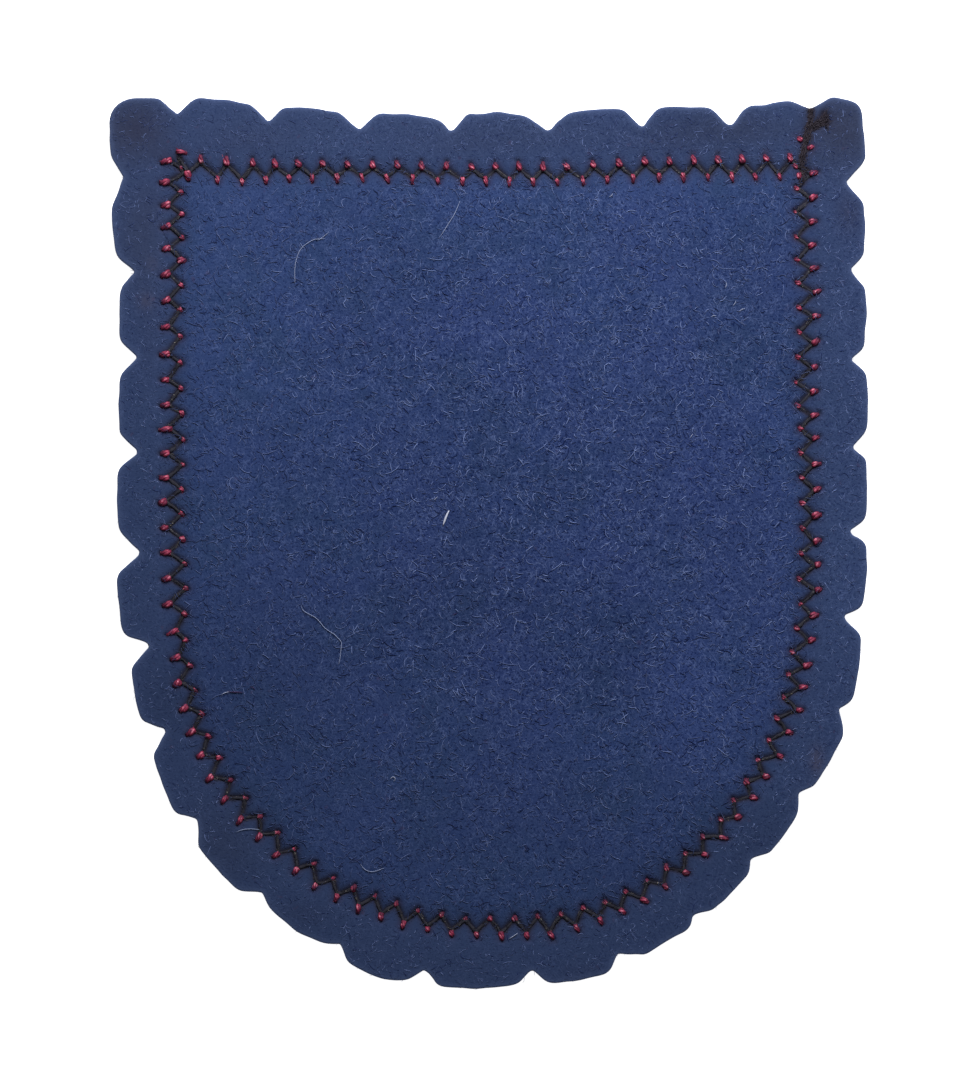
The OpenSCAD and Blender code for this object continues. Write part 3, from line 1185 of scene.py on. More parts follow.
    def seam_gap(self, points: Array) -> Array:
        """Gives each point's distance from the seam or the starting thread."""
        gaps = np.abs(self.seam.line.outside(points))
        return np.minimum(gaps, self.near_start.gaps(points) + self.start_gap)

    def thread_gap(self, points: Array) -> Array:
        """Gives each point's distance from the nearest dark thread."""
        return self.near_threads.gaps(points)

    def top(self, points: Array) -> Array:
        """Works out the height of the felt's upper face.

        Args:
            points: Places in the plane.

        Returns:
            The height at each of them.
        """
        waves = self.waves.total(points) / self.wave_calm
        threads, seam = self.thread_gap(points), self.seam_gap(points)
        valley = self.valley_d * bell(seam, self.valley_w)
        pucker = self.pucker_h * bell(seam, self.pucker_w) * (1 - bell(threads, self.pucker_clear))
        groove = self.groove_d * bell(threads, self.groove_w)
        holes = self.hole_d * bell(self.near_holes.gaps(points), self.hole_w)
        return self.thickness + self.wave * (waves - self.wave_share) - valley + pucker - groove - holes

    def nap(self, points: Array) -> Array:
        """Works out how rough the nap is, which is smoother by the seam and towards the lower left.

        Args:
            points: Places in the plane.

        Returns:
            The roughness at each of them, up to 1.
        """
        away = points - place(*self.ROUGHEST_PX)
        pressed = self.pressed * bell(self.seam_gap(points), self.pressed_w)
        greyed = self._spotted(points, self.GREYED_PX)
        usual = bell(np.linalg.norm(away, axis=1), self.rough_reach)
        return usual * (1 - pressed) * (1 - self.greyed_nap * greyed)

    def rim_nap(self, points: Array) -> Array:
        """Gives how much the rim's fibres show, which is most on the right and least along the top."""
        from_top = self.cut_line[:, 1].max() - points[:, 1]
        return (self.rim_nap_usual + self.rim_nap_change * points[:, 0] / self.rim_change
                - self.rim_nap_top * bell(from_top, self.smooth_top))

    def covered(self, points: Array) -> Array:
        """Gives the height of what lies on top: the felt, or a thread or loop on it."""
        over = np.maximum(self.cover_h * bell(self.thread_gap(points), self.cover_w),
                          self.loop_h * bell(self.near_loops.gaps(points), self.loop_w))
        return self.top(points) + over

    def under(self, points: Array) -> Array:
        """Gives the height of the felt's lower face, flat but for the seam."""
        valley = self.valley_d * bell(self.seam_gap(points), self.valley_w)
        groove = self.under_groove * self.groove_d * bell(self.near_zigzag.gaps(points), self.groove_w)
        return valley + groove

    def _spotted(self, points: Array, rows: Sequence[Sequence[float]],
                 joined: Callable = np.maximum) -> Array:
        """Works out how strongly each point is coloured by a table of soft spots.

        Args:
            points: Places in the plane.
            rows: The spots: place, half width and half height in pixels, strength.
            joined: How spots that overlap go together: the stronger one, or the sum.

        Returns:
            The strength at each place.
        """
        tint = np.zeros(len(points))
        for x, y, wide, high, strength in rows:
            away = (points - place(x, y)) / (wide * PIXEL, high * PIXEL)
            tint = joined(tint, strength * np.exp(-(away ** 2).sum(1)))
        return tint

    def _values(self, flat: Array, z: Array) -> dict[str, Array]:
        """Works out the values that the felt's finish reads.

        Args:
            flat: The vertices' places in the plane.
            z: Their heights.

        Returns:
            The values by name, one for each vertex.
        """
        outside = self.seam.line.outside(flat)
        inside = self.near_cut.right_of(flat)
        threads, loops = self.thread_gap(flat), self.near_loops.gaps(flat)
        upper, lit = z > self.thickness * self.upper_from, z > self.thickness * self.lit_from
        # Painted shade round the dark thread, the needle holes and the loops, joined with the real dark
        # smears of loose thread
        beside = self.thread_shade * bell(threads, self.thread_shade_w)
        shade_and_smear = np.maximum.reduce([
            beside + self.wide_shade * bell(threads, self.wide_shade_w),
            self.hole_shade * bell(self.near_holes.gaps(flat), self.hole_shade_w),
            self.loop_shade * bell(loops, self.loop_shade_w),
            self._spotted(flat, self.SMEARS_PX)])
        return {
            "rim": np.clip((outside - self.rim_from) / self.rim_w, 0, 1),
            "shade_and_smear": shade_and_smear * np.where(upper, 1.0, self.under_shade),
            "blush": self.blush * bell(loops, self.blush_w),
            "nap": self.nap(flat),
            "greyed": self._spotted(flat, self.GREYED_PX),
            "tone": self._spotted(flat, self.TONES_PX, np.add),
            # A painted highlight where the rounded cut edge catches the light, on the upper part only
            "edge": (bell(inside, self.edge_w)
                     + self.core_share * bell(inside, self.core_w * self.edge_w)) * lit,
            "darkened": self._spotted(flat, self.DARKENED_PX) * upper,
            "tan": self._spotted(flat, self.TANS_PX) * upper,
        }

    def build(self, finish: Material) -> Piece:
        """Builds the felt's mesh.

        Args:
            finish: The felt's material.

        Returns:
            The felt piece.
        """
        inwards = self._inwards()
        rings, heights = [], []
        for inset, share in self.EDGE:
            ring = self.cut_line + inset * inwards
            top, under = self.top(ring), self.under(ring)
            rings.append(ring)
            heights.append(under + share * (top - under))
        count = len(self.cut_line)
        faces = tube_faces(len(rings), count)
        flats, z_parts = [np.vstack(rings)], [np.concatenate(heights)]
        last = len(rings) - 1
        for ring_number, step, fine, flip in (
                (0, self.coarse_step, self.fine_step, False),
                (last, self.under_step, self.fine_step * self.under_fine, True)):
            spots = self._spots(rings[ring_number], step, fine)
            base = sum(len(part) for part in flats)
            faces += self._filled(rings[ring_number], spots, ring_number * count, base, flip)
            flats.append(spots)
            z_parts.append(self.under(spots) if flip else self.top(spots))
        flat, z = np.vstack(flats), np.concatenate(z_parts)
        piece = add_piece("felt_sheet", np.column_stack([flat, z]), faces, finish, self._values(flat, z))
        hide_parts(FELT_NODE)
        return piece

    def _filled(self, ring: Array, spots: Array, ring_base: int, spot_base: int, flip: bool) -> list[tuple]:
        """Fills a loop with triangles through scattered points.

        Args:
            ring: The loop.
            spots: The points inside it.
            ring_base: The number of the loop's first vertex in the mesh.
            spot_base: The number of the first inner vertex in the mesh.
            flip: True for a face that looks down.

        Returns:
            The triangles.
        """
        count = len(ring)
        together = (np.vstack([ring, spots]) / MM).tolist()
        edges = [(i, (i + 1) % count) for i in range(count)]
        made = delaunay_2d_cdt(together, edges, [], 1, 1e-6)
        number = {}
        for out_index, origins in enumerate(made[3]):
            first = min(origins)
            number[out_index] = ring_base + first if first < count else spot_base + first - count
        triangles = []
        for face in made[2]:
            corners = [number[index] for index in face]
            triangles.append(tuple(corners[::-1] if flip else corners))
        return triangles


@dataclass
class Strand:
    """A spun strand: its cross-section, its twist, and how dark its flanks are.

    The depth value that a strand leaves on its mesh is above nought where painted
    shade and its own darker tone darken it, and below nought where a painted highlight lights it.
    """

    radius: float
    plies: int = 3
    sides: int = 12
    ply_depth: float = 0.16
    twist_length: float = 1.5 * MM
    taper: float = 0.0
    flank_shade: float = 0.0

    # Where a path runs so steeply that its own side is taken for it, the least
    # girth at the ends, how sharp the lit line is, and the depths kept
    STEEP = 0.08
    END_GIRTH = 0.12
    LIT_POWER = 4
    DEPTHS = (-1.0, 0.95)

    def sweep(self, path: Array, wide: float = 1.0, depth: Array | None = None,
              turn: float = 0.0, girth: Array | None = None, lit: Array | None = None,
              roll: float = 0.0) -> tuple[Array, list, Array]:
        """Carries the cross-section along a path and closes both ends.

        Args:
            path: The strand's middle line, in order.
            wide: How much wider than high the strand is.
            depth: A value for each place of the path, or None for noughts.
            turn: Where the plies' twist begins.
            girth: A share of the thickness for each place, or None for all of it.
            lit: How brightly the top is lit at each place, or None for not at all.
            roll: The turn of the lit line from the very top.

        Returns:
            The vertices, the faces and each vertex's depth value.
        """
        count = len(path)
        way = unit_rows(np.gradient(path, axis=0))
        across = np.cross(way, UP)
        steep = np.linalg.norm(across, axis=1) < self.STEEP
        across[steep] = across[~steep][0] if (~steep).any() else (1.0, 0.0, 0.0)
        across = unit_rows(across)
        over = np.cross(across, way)
        run = np.r_[0.0, np.cumsum(np.linalg.norm(np.diff(path, axis=0), axis=1))]
        spin = turn + FULL_TURN * run / self.twist_length
        angle = np.linspace(0, FULL_TURN, self.sides, endpoint=False)
        lobes = 1 + self.ply_depth * np.cos(self.plies * (angle[None] + spin[:, None] / self.plies))
        ends = np.minimum(run, run[-1] - run) / max(self.taper, 1e-9)
        size = self.radius * lobes * np.sqrt(np.clip(ends, self.END_GIRTH, 1.0))[:, None]
        if girth is not None:
            size = size * girth[:, None]
        ring = (across[:, None] * (wide * size * np.cos(angle))[..., None]
                + over[:, None] * (size * np.sin(angle))[..., None])
        points = (path[:, None] + ring).reshape(-1, 3)
        faces = tube_faces(count, self.sides)
        faces.append(tuple(range(self.sides))[::-1])
        faces.append(tuple((count - 1) * self.sides + i for i in range(self.sides)))
        values = np.zeros(count) if depth is None else depth
        # Painted shade darkens the lower flanks; further down, a painted highlight lights a line along the
        # top
        shades = values[:, None] + self.flank_shade * np.clip(1.0 - np.sin(angle), 0, 1)
        shades = np.broadcast_to(shades, lobes.shape)
        if lit is not None:
            crown = np.clip(np.cos(angle - math.pi / 2 - roll), 0, 1) ** self.LIT_POWER
            shades = shades - lit[:, None] * crown[None]
        return points, faces, np.clip(shades, *self.DEPTHS).ravel()


class Bundle:
    """Collects many strands into one mesh."""

    def __init__(self) -> None:
        """Starts with nothing."""
        self.points: list[Array] = []
        self.faces: list = []
        self.depths: list[Array] = []
        self.count = 0

    def add(self, part: tuple[Array, list, Array]) -> None:
        """Adds one swept strand."""
        points, faces, depths = part
        self.faces += [tuple(self.count + i for i in face) for face in faces]
        self.points.append(points)
        self.depths.append(depths)
        self.count += len(points)

    def piece(self, name: str, finish: Material) -> Piece:
        """Makes the collected strands one piece."""
        return add_piece(name, np.vstack(self.points), self.faces, finish,
                         {"depth": np.concatenate(self.depths)})


def smooth_path(corners: Array, step: float) -> Array:
    """Rounds a line of few points into an even, smooth one.

    Args:
        corners: The points that the path passes through.
        step: The distance between the new points.

    Returns:
        The new points.
    """
    padded = np.vstack([2 * corners[0] - corners[1], corners, 2 * corners[-1] - corners[-2]])
    parts = []
    for before, start, end, after in zip(padded, padded[1:], padded[2:], padded[3:]):
        count = max(2, int(np.linalg.norm(end - start) / step))
        t = np.linspace(0, 1, count, endpoint=False)[:, None]
        squared = 2 * before - 5 * start + 4 * end - after
        cubed = 3 * start - before - 3 * end + after
        parts.append(0.5 * (2 * start + (end - before) * t + squared * t ** 2 + cubed * t ** 3))
    parts.append(corners[-1:])
    return np.vstack(parts)


# A fibre's cross-section, the girth at its ends, how fast that grows, and how
# thin and thick fibres are against the usual
FIBRE_TURNS = (-math.pi / 2, math.pi / 6, math.pi * 5 / 6)
FIBRE_SIDES = len(FIBRE_TURNS)
FIBRE_END = 0.45
FIBRE_GROWTH = 2.2
FIBRE_GIRTHS = (0.7, 1.4)
# Nearly straight up, so that a fibre that stands upright has a side too
NEARLY_UP = (0.013, 0.007, 1.0)


def add_fibres(name: str, paths: Array, radius: Array, depth: Array, finish: Material) -> Piece:
    """Turns many short paths into thin three-sided fibres in one mesh.

    Args:
        name: The piece's name.
        paths: The fibres' places, fibre by fibre.
        radius: Each fibre's half thickness.
        depth: How dim each fibre is.
        finish: The fibres' material.

    Returns:
        The piece.
    """
    count, rings = paths.shape[:2]
    way = unit_rows(np.gradient(paths, axis=1))
    across = unit_rows(np.cross(way, NEARLY_UP))
    over = np.cross(across, way)
    from_end = 0.5 - np.abs(np.linspace(-0.5, 0.5, rings))
    size = radius[:, None] * np.minimum(1.0, FIBRE_END + FIBRE_GROWTH * from_end)[None]
    corners = []
    for angle in FIBRE_TURNS:
        corners.append(paths + across * (size * math.cos(angle))[..., None]
                       + over * (size * math.sin(angle))[..., None])
    points = np.stack(corners, 2).reshape(-1, 3)
    each = rings * FIBRE_SIDES
    block = tube_faces(rings, FIBRE_SIDES)
    block.append(tuple(range(FIBRE_SIDES))[::-1])
    block.append(tuple(range(each - FIBRE_SIDES, each)))
    faces = [tuple(base + i for i in face) for base in range(0, count * each, each) for face in block]
    return add_piece(name, points, faces, finish, {"depth": np.repeat(depth, each)})


@dataclass(frozen=True)
class Fuzz:
    """Short hairs on one thread: how many to a millimetre, and how far out they start and reach."""

    name: str
    each: float
    radius: float
    reach: float
    seed: int


DARK_FUZZ = Fuzz("dark_fuzz", 13.0, 0.11 * MM, 0.17 * MM, 31)
LOOSE_FUZZ = Fuzz("loose_fuzz", 12.0, 0.05 * MM, 0.25 * MM, 33)
RED_FUZZ = Fuzz("red_fuzz", 9.0, 0.26 * MM, 0.07 * MM, 32)


@dataclass
class SeamThreads:
    """The two threads of the seam, the starting thread, and the fuzz on them."""

    felt: FeltSheet
    seam: ZigzagSeam
    start: StartingThread
    radius: float = 0.11 * MM
    sink: float = 0.03 * MM
    ring_step: float = 0.15 * MM
    soft_turn: float = 0.30 * MM
    turn_share: float = 0.4
    turn_points: int = 5
    bow: float = 0.055 * MM

    dark_sides: int = 10
    dark_ply: float = 0.16
    dark_twist: float = 1.1 * MM
    # Painted shade on the dark thread's lower flanks
    dark_flank_shade: float = 0.4
    dive: float = 0.14 * MM
    dive_usual: float = 0.3
    dive_change: float = 1.6
    dive_easing: int = 8
    height_easing: int = 3
    flat_share: float = 1.4
    swell: float = 0.45
    swell_easing: int = 4
    girths: tuple = (0.5, 1.5)

    under_radius: float = 0.17 * MM
    under_sides: int = 8
    under_step: float = 1.5
    under_twist: float = 1.5 * MM
    under_lift: float = 1.18

    run_strands: int = 5
    run_radius: float = 0.050 * MM
    run_reach: float = 0.8
    run_swing: tuple = (0.15, 0.5)
    run_pace: tuple = (4, 14)
    run_lift: tuple = (-0.05, 0.10)
    run_girth: tuple = (0.7, 1.3)
    leg_lift: float = 0.5
    leg_girth: float = 0.8
    tail_strands: int = 2
    tail_radius: float = 0.035 * MM
    tail_stray: float = 0.10 * MM
    tail_rise: tuple = (0.04, 0.14)
    tail_lift: tuple = (0.3, 1.2)
    loose_taper: float = 0.3 * MM
    # Painted shade on the loose strands' lower flanks
    loose_flank_shade: float = 0.2

    loop_points: int = 10
    loop_inset: float = 0.15
    loop_sink: float = 0.12 * MM
    loop_rise: float = 0.18 * MM
    rise_change: float = 0.15
    rise_power: float = 0.6
    loop_strands: int = 3
    loop_ply: float = 0.29
    loop_core: float = 0.34
    loop_spread: float = 0.23
    loop_height: float = 0.7
    loop_wind: float = 3.2
    loop_twist: float = 0.5 * MM
    loop_taper: float = 0.10 * MM
    # Painted shade on the loops: their lower flanks, their core under the plies, and their head end past the
    # lit spot; lit paints a highlight near the head
    loop_flank_shade: float = 1.0
    loop_uneven: float = 0.30
    loop_depths: tuple = (-0.6, 1.0)
    core_shade: float = 0.25
    most_depth: float = 0.9
    teardrop: float = 0.45
    lit: float = 0.95
    lit_at: float = -0.42
    lit_change: float = 0.18
    lit_length: float = 0.36
    lit_shares: tuple = (0.6, 1.1)
    lit_roll: float = math.radians(35)
    head_shade: float = 0.6

    fuzz_radius: float = 0.020 * MM
    fuzz_parts: tuple = (0.0, 0.4, 0.75, 1.0)
    fuzz_lift: tuple = (-0.1, 1.0)
    fuzz_spread: float = 0.45
    fuzz_slide: float = 1.6
    fuzz_root: float = 0.8
    fuzz_droop: float = 0.45
    fuzz_clear: float = 0.01 * MM
    fuzz_depth: tuple = (-0.45, 0.9)

    # Where a ply's twist or a strand's sway may begin, in radians
    starts: tuple = (0, 6.28)
    dark_paths: list[Array] = field(default_factory=list)
    loose_paths: list[Array] = field(default_factory=list)
    red_paths: list[Array] = field(default_factory=list)

    # How far the tail's strands stray at each of their four places
    TAIL_STRAYS = np.array([[0.3], [1.3], [1.8], [2.6]])
    # The light and dark along a loose strand: its middle, its swing, and its lengths across and along
    LOOSE_TONE = (0.45, 0.45, 0.31 * MM, 0.47 * MM)

    def build_dark(self, finish: Material) -> Piece:
        """Builds the dark zigzag, one thread once round the seam.

        Args:
            finish: The thread's material.

        Returns:
            The piece.
        """
        strand = Strand(self.radius, sides=self.dark_sides, ply_depth=self.dark_ply,
                        twist_length=self.dark_twist, flank_shade=self.dark_flank_shade)
        flat = self._zigzag_path(self.seam.tips(), self.ring_step, np.random.default_rng(5))
        chance = np.random.default_rng(8)
        eased = self._eased(chance.normal(size=len(flat)), self.dive_easing)
        dive = self.dive * np.clip(self.dive_usual + self.dive_change * eased, 0, 1)
        height = self.felt.top(flat) + self.radius - self.sink - dive
        path = np.column_stack([flat, self._eased(height, self.height_easing)])
        self.dark_paths.append(path)
        swell = self._eased(chance.normal(0, self.swell, len(path)), self.swell_easing)
        bundle = Bundle()
        bundle.add(strand.sweep(path, self.flat_share, girth=np.clip(1 + swell, *self.girths)))
        return bundle.piece("dark_thread_zigzag", finish)

    def build_under(self, finish: Material) -> Piece:
        """Builds the red zigzag that shows on the lower face.

        Args:
            finish: The thread's material.

        Returns:
            The piece.
        """
        strand = Strand(self.under_radius, sides=self.under_sides, twist_length=self.under_twist)
        flat = self._zigzag_path(self.seam.tips(), self.under_step * self.ring_step,
                                 np.random.default_rng(6))
        height = np.full(len(flat), self.under_radius * self.under_lift)
        bundle = Bundle()
        bundle.add(strand.sweep(np.column_stack([flat, height])))
        return bundle.piece("red_thread_under", finish)

    def build_loops(self, finish: Material) -> Piece:
        """Builds the red loops that lock the dark thread at each point.

        Args:
            finish: The thread's material.

        Returns:
            The piece.
        """
        chance = np.random.default_rng(23)
        bundle = Bundle()
        stitches = self.seam.looped() + self.start.stitches()
        floors = self.felt.top(np.array([stitch.loop for stitch in stitches]))
        for stitch, floor in zip(stitches, floors):
            self._add_loop(bundle, stitch, floor, chance)
        return bundle.piece("red_lock_loops", finish)

    def _add_loop(self, bundle: Bundle, stitch: Stitch, floor: float, chance: Chance) -> None:
        """Lays one loop: a few plies wound together, both ends of them down in the felt.

        Args:
            bundle: Where the plies go.
            stitch: The loop's place, turn and size.
            floor: The felt's height there.
            chance: Where the loop's unevenness comes from.
        """
        turns = np.linspace(0, math.pi, self.loop_points)
        outwards = np.cos(turns)
        axis = stitch.axis()
        reach = stitch.length / 2 - self.loop_inset * stitch.width
        rise = self.loop_rise * (1 + self.rise_change * chance.normal()) * np.sin(turns) ** self.rise_power
        height = floor - self.loop_sink + rise
        middle = np.column_stack([stitch.loop + (outwards * reach)[:, None] * axis, height])
        self.red_paths.append(middle)
        side = np.array([-axis[1], axis[0], 0.0])
        girth = 1.0 - self.teardrop * np.clip(outwards, 0, 1)
        lit_at = chance.normal(self.lit_at, self.lit_change)
        # Painted shade: darker towards the end that dives into the felt, and past the lit head on the thread
        # side
        end_shading = stitch.end_shade * np.clip((outwards - lit_at) / (1 - lit_at), 0, 1)
        end_shading += self.head_shade * np.clip(lit_at - outwards, 0, 1)
        lit = self.lit * bell(outwards - lit_at, self.lit_length)
        roll = self.lit_roll * math.copysign(1.0, -axis[0]) * abs(axis[0])
        begin = chance.uniform(0, FULL_TURN)
        strand = Strand(self.loop_ply * stitch.width, plies=2, sides=7, ply_depth=0.08,
                        twist_length=self.loop_twist, taper=self.loop_taper, flank_shade=self.loop_flank_shade)
        core = Strand(self.loop_core * stitch.width, sides=6, taper=self.loop_taper, flank_shade=self.loop_flank_shade)
        core_shade = np.clip(end_shading + self.core_shade, 0, self.most_depth)
        bundle.add(core.sweep(middle, 1.0, core_shade, begin, girth, None, roll))
        for number in range(self.loop_strands):
            wound = begin + FULL_TURN * number / self.loop_strands + self.loop_wind * (1 - outwards) / 2
            away = self.loop_spread * stitch.width * girth
            path = middle + side * (np.cos(wound) * away)[:, None]
            path[:, 2] += self.loop_height * np.sin(wound) * away
            uneven = self.loop_uneven * chance.uniform(*self.loop_depths)
            depth = np.clip(end_shading + uneven, 0, self.most_depth)
            bundle.add(strand.sweep(path, 1.0, depth, chance.uniform(*self.starts), girth,
                                    stitch.lit * lit * chance.uniform(*self.lit_shares), roll))

    def build_start(self, finish: Material) -> Piece:
        """Builds the starting thread, its legs and its frayed tail.

        Args:
            finish: The thread's material.

        Returns:
            The piece.
        """
        chance = np.random.default_rng(3)
        bundle = Bundle()
        run = smooth_path(self.start.run(), self.ring_step)
        around = np.linspace(0, 1, len(run))
        spread = np.interp(around, np.linspace(0, 1, len(self.start.RUN_PX)), self.start.run_width())
        beside = rightwards(unit_rows(np.gradient(run, axis=0)))
        for number in range(self.run_strands):
            share = 2 * (number + 0.5) / self.run_strands - 1
            swing = chance.uniform(*self.run_swing)
            start = chance.uniform(*self.starts)
            pace = chance.uniform(*self.run_pace)
            sway = self.run_reach * share + swing * np.sin(pace * around + start)
            flat = run + beside * (spread * sway)[:, None]
            height = self.felt.top(flat) + self.run_radius + chance.uniform(*self.run_lift) * MM
            self._add_loose(bundle, flat, self._eased(height, self.height_easing),
                            self.run_radius * chance.uniform(*self.run_girth))
        for leg in self.start.legs():
            flat = smooth_path(leg, self.ring_step)
            self._add_loose(bundle, flat, self.felt.top(flat) + self.leg_lift * self.radius,
                            self.radius * self.leg_girth)
        for strand_path in self.start.tail():
            for _ in range(self.tail_strands):
                stray = chance.normal(0, self.tail_stray, strand_path.shape) * self.TAIL_STRAYS
                flat = smooth_path(strand_path + stray, self.ring_step)
                lift = np.linspace(*self.tail_rise, len(flat)) * MM * chance.uniform(*self.tail_lift)
                self._add_loose(bundle, flat, self.felt.top(flat) + lift, self.tail_radius)
        return bundle.piece("starting_thread", finish)

    def _add_loose(self, bundle: Bundle, flat: Array, height: Array, radius: float) -> None:
        """Adds one loose dark strand and keeps its path for the fuzz.

        Args:
            bundle: Where the strand goes.
            flat: Its places in the plane.
            height: Its heights.
            radius: Its half thickness.
        """
        path = np.column_stack([flat, height])
        self.loose_paths.append(path)
        middle, swing, across, along = self.LOOSE_TONE
        tone = middle + swing * np.sin(path[:, 0] / across + path[:, 1] / along + len(self.loose_paths))
        strand = Strand(radius, plies=2, sides=6, taper=self.loose_taper, flank_shade=self.loose_flank_shade)
        bundle.add(strand.sweep(path, depth=tone))

    def build_fuzz(self, fuzz: Fuzz, paths: list[Array], finish: Material) -> Piece:
        """Lets short hairs stand off the threads.

        Args:
            fuzz: The hairs' number and sizes.
            paths: The threads' middle lines.
            finish: The hairs' material.

        Returns:
            The piece.
        """
        chance = np.random.default_rng(fuzz.seed)
        roots, ways = [], []
        for path in paths:
            length = np.linalg.norm(np.diff(path, axis=0), axis=1).sum()
            picked = chance.integers(0, len(path), int(fuzz.each * length / MM))
            roots.append(path[picked])
            ways.append(unit_rows(np.gradient(path, axis=0))[picked])
        root, way = np.vstack(roots), np.vstack(ways)
        count = len(root)
        across = unit_rows(np.cross(way, UP))
        lift = chance.uniform(*self.fuzz_lift, count) ** 2 * math.pi / 2
        side = np.where(chance.uniform(size=count) < 0.5, -1.0, 1.0) * np.cos(lift)
        out = across * side[:, None] + np.array(UP) * np.sin(lift)[:, None]
        long = fuzz.reach * chance.lognormal(0, self.fuzz_spread, count)
        slide = chance.normal(0, self.fuzz_slide, count) * long
        steps = []
        for part in self.fuzz_parts:
            away = self.fuzz_root * fuzz.radius + long * part
            spot = root + out * away[:, None] + way * (slide * part * part)[:, None]
            spot[:, 2] -= self.fuzz_droop * long * part * part
            steps.append(spot)
        hairs = np.stack(steps, 1)
        ground = self.felt.top(hairs[:, -1, :2]) + self.fuzz_clear
        hairs[:, -1, 2] = np.maximum(hairs[:, -1, 2], ground)
        thick = self.fuzz_radius * chance.uniform(*FIBRE_GIRTHS, count)
        return add_fibres(fuzz.name, hairs, thick, chance.uniform(*self.fuzz_depth, count), finish)

    def _zigzag_path(self, tips: Array, step: float, chance: Chance) -> Array:
        """Runs the thread from tip to tip, straight between and round at each.

        Args:
            tips: The zigzag's corners.
            step: The distance between the path's points.
            chance: Where its slight bow comes from.

        Returns:
            The path's places in the plane.
        """
        parts = [tips[:1], (tips[:1] + tips[1:2]) / 2]
        t = np.linspace(0, 1, self.turn_points)[:, None]
        for before, tip, after in zip(tips, tips[1:], tips[2:]):
            into, away = unit_rows(before - tip), unit_rows(after - tip)
            bow = chance.normal(0, self.bow, 2)
            start = tip + into * min(self.soft_turn, self.turn_share * np.linalg.norm(before - tip))
            end = tip + away * min(self.soft_turn, self.turn_share * np.linalg.norm(after - tip))
            parts.append((1 - t) ** 2 * start + 2 * t * (1 - t) * tip + t ** 2 * end)
            parts.append(((tip + after) / 2 + bow)[None])
        corners = np.vstack(parts + [tips[-1:]])
        return smooth_path(corners, step)

    def _eased(self, height: Array, times: int) -> Array:
        """Evens out a run of heights, as a taut thread does.

        Args:
            height: The heights along the thread.
            times: How often each is averaged with its neighbours.

        Returns:
            The evened heights, with both ends as they were.
        """
        for _ in range(times):
            height = np.r_[height[:1], (height[:-2] + 2 * height[1:-1] + height[2:]) / 4, height[-1:]]
        return height


class Zone(Enum):
    """Where a layer of fibres lies: its band outside the seam, and its band inside the cut edge."""

    FIELD = (-math.inf, -0.7 * MM, -math.inf, math.inf)
    RIM = (0.9 * MM, math.inf, 0.45 * MM, math.inf)
    SEAM = (-1.3 * MM, 1.3 * MM, -math.inf, math.inf)
    EDGE = (-math.inf, math.inf, 0.02 * MM, 0.25 * MM)


@dataclass(frozen=True)
class NapLayer:
    """One layer of loose fibres: where, how many, how long and how high.

    One share says how many of them are dark, painted shade in the gaps between
    fibres, and pale is how far the others go towards the palest.
    """

    name: str
    zone: Zone
    count: int
    length: float
    rise: float
    rings: int
    radius: float
    shade_share: float
    pale: float
    seed: int


NAP_LAYERS = (
    NapLayer("nap_matted", Zone.FIELD, 9400, 0.36 * MM, 0.025 * MM, 4, 0.029 * MM, 0.27, 0.92, 101),
    NapLayer("nap_curls", Zone.FIELD, 7300, 0.70 * MM, 0.04 * MM, 5, 0.028 * MM, 0.17, 1.15, 102),
    NapLayer("nap_rim", Zone.RIM, 3600, 0.46 * MM, 0.012 * MM, 4, 0.026 * MM, 0.12, 0.98, 103),
    NapLayer("nap_over_seam", Zone.SEAM, 900, 0.50 * MM, 0.05 * MM, 5, 0.019 * MM, 0.0, 0.75, 104),
    NapLayer("nap_cut_edge", Zone.EDGE, 500, 0.32 * MM, 0.03 * MM, 4, 0.016 * MM, 0.3, 0.4, 105),
)


@dataclass(frozen=True)
class Scraps:
    """Single fibres that the photograph shows, as one piece: their places in pixels and their sizes."""

    name: str
    places: tuple
    radius: float
    depth: float


# Stray hairs
HAIRS_PX = (((301, 605), (304, 610), (311, 614), (316, 617), (320, 621), (324, 626), (329, 630), (334, 633),
             (338, 637), (341.5, 641.5), (341, 648), (340.3, 656), (338.5, 664)),
            ((325, 237.5), (318, 238), (313, 239), (307, 242.5), (302, 246.5), (299, 251), (297, 256.5),
             (295.3, 263), (294.7, 272), (295, 283)),
            ((329, 231), (323, 236), (317, 240)),
            ((460, 200), (455, 212), (449, 222), (440, 236)),
            ((360.6, 863), (363, 866.6), (366.6, 869.4), (372, 870.7), (378, 869.3), (384.4, 866.8)),
            ((236, 831), (243, 828.6), (252, 828), (262, 829.4)))
FLECK_PX = (((449, 509.5), (446, 516), (443, 524.5)),)
# Short light strokes and specks of lint
MARKS_PX = (((669, 453), (671, 451.5), (673.5, 451)), ((609, 196), (611.5, 194.5), (613, 192.5)),
            ((434, 499), (435.8, 497.3), (437.4, 495.6)), ((508.5, 938), (513, 935.5), (518, 932)),
            ((733, 305), (735, 302), (736, 299.5)), ((739, 310.5), (741.5, 308.5), (745, 307.5)),
            ((711, 316), (713.5, 314.5), (716.5, 315)), ((725, 287), (726.5, 284), (726, 281.5)),
            ((690, 437), (691.5, 434.5), (693, 433)),
            ((390.6, 778.2), (391.6, 776.4), (393.4, 775.8), (395, 777), (395, 779), (393.4, 780)),
            ((221, 693.7), (225.3, 691.6), (230.6, 690.6)))
# Short strokes of maroon lint
LINT_PX = (((227, 690), (231, 691), (237, 691), (243, 691.5)), ((250, 686), (253.5, 686.5), (255, 689)),
           ((500, 567.5), (502, 567), (505, 566)), ((452.5, 613.5), (454.5, 613), (457, 612)),
           ((392.6, 816.5), (393.6, 819.5), (396, 822.4)))

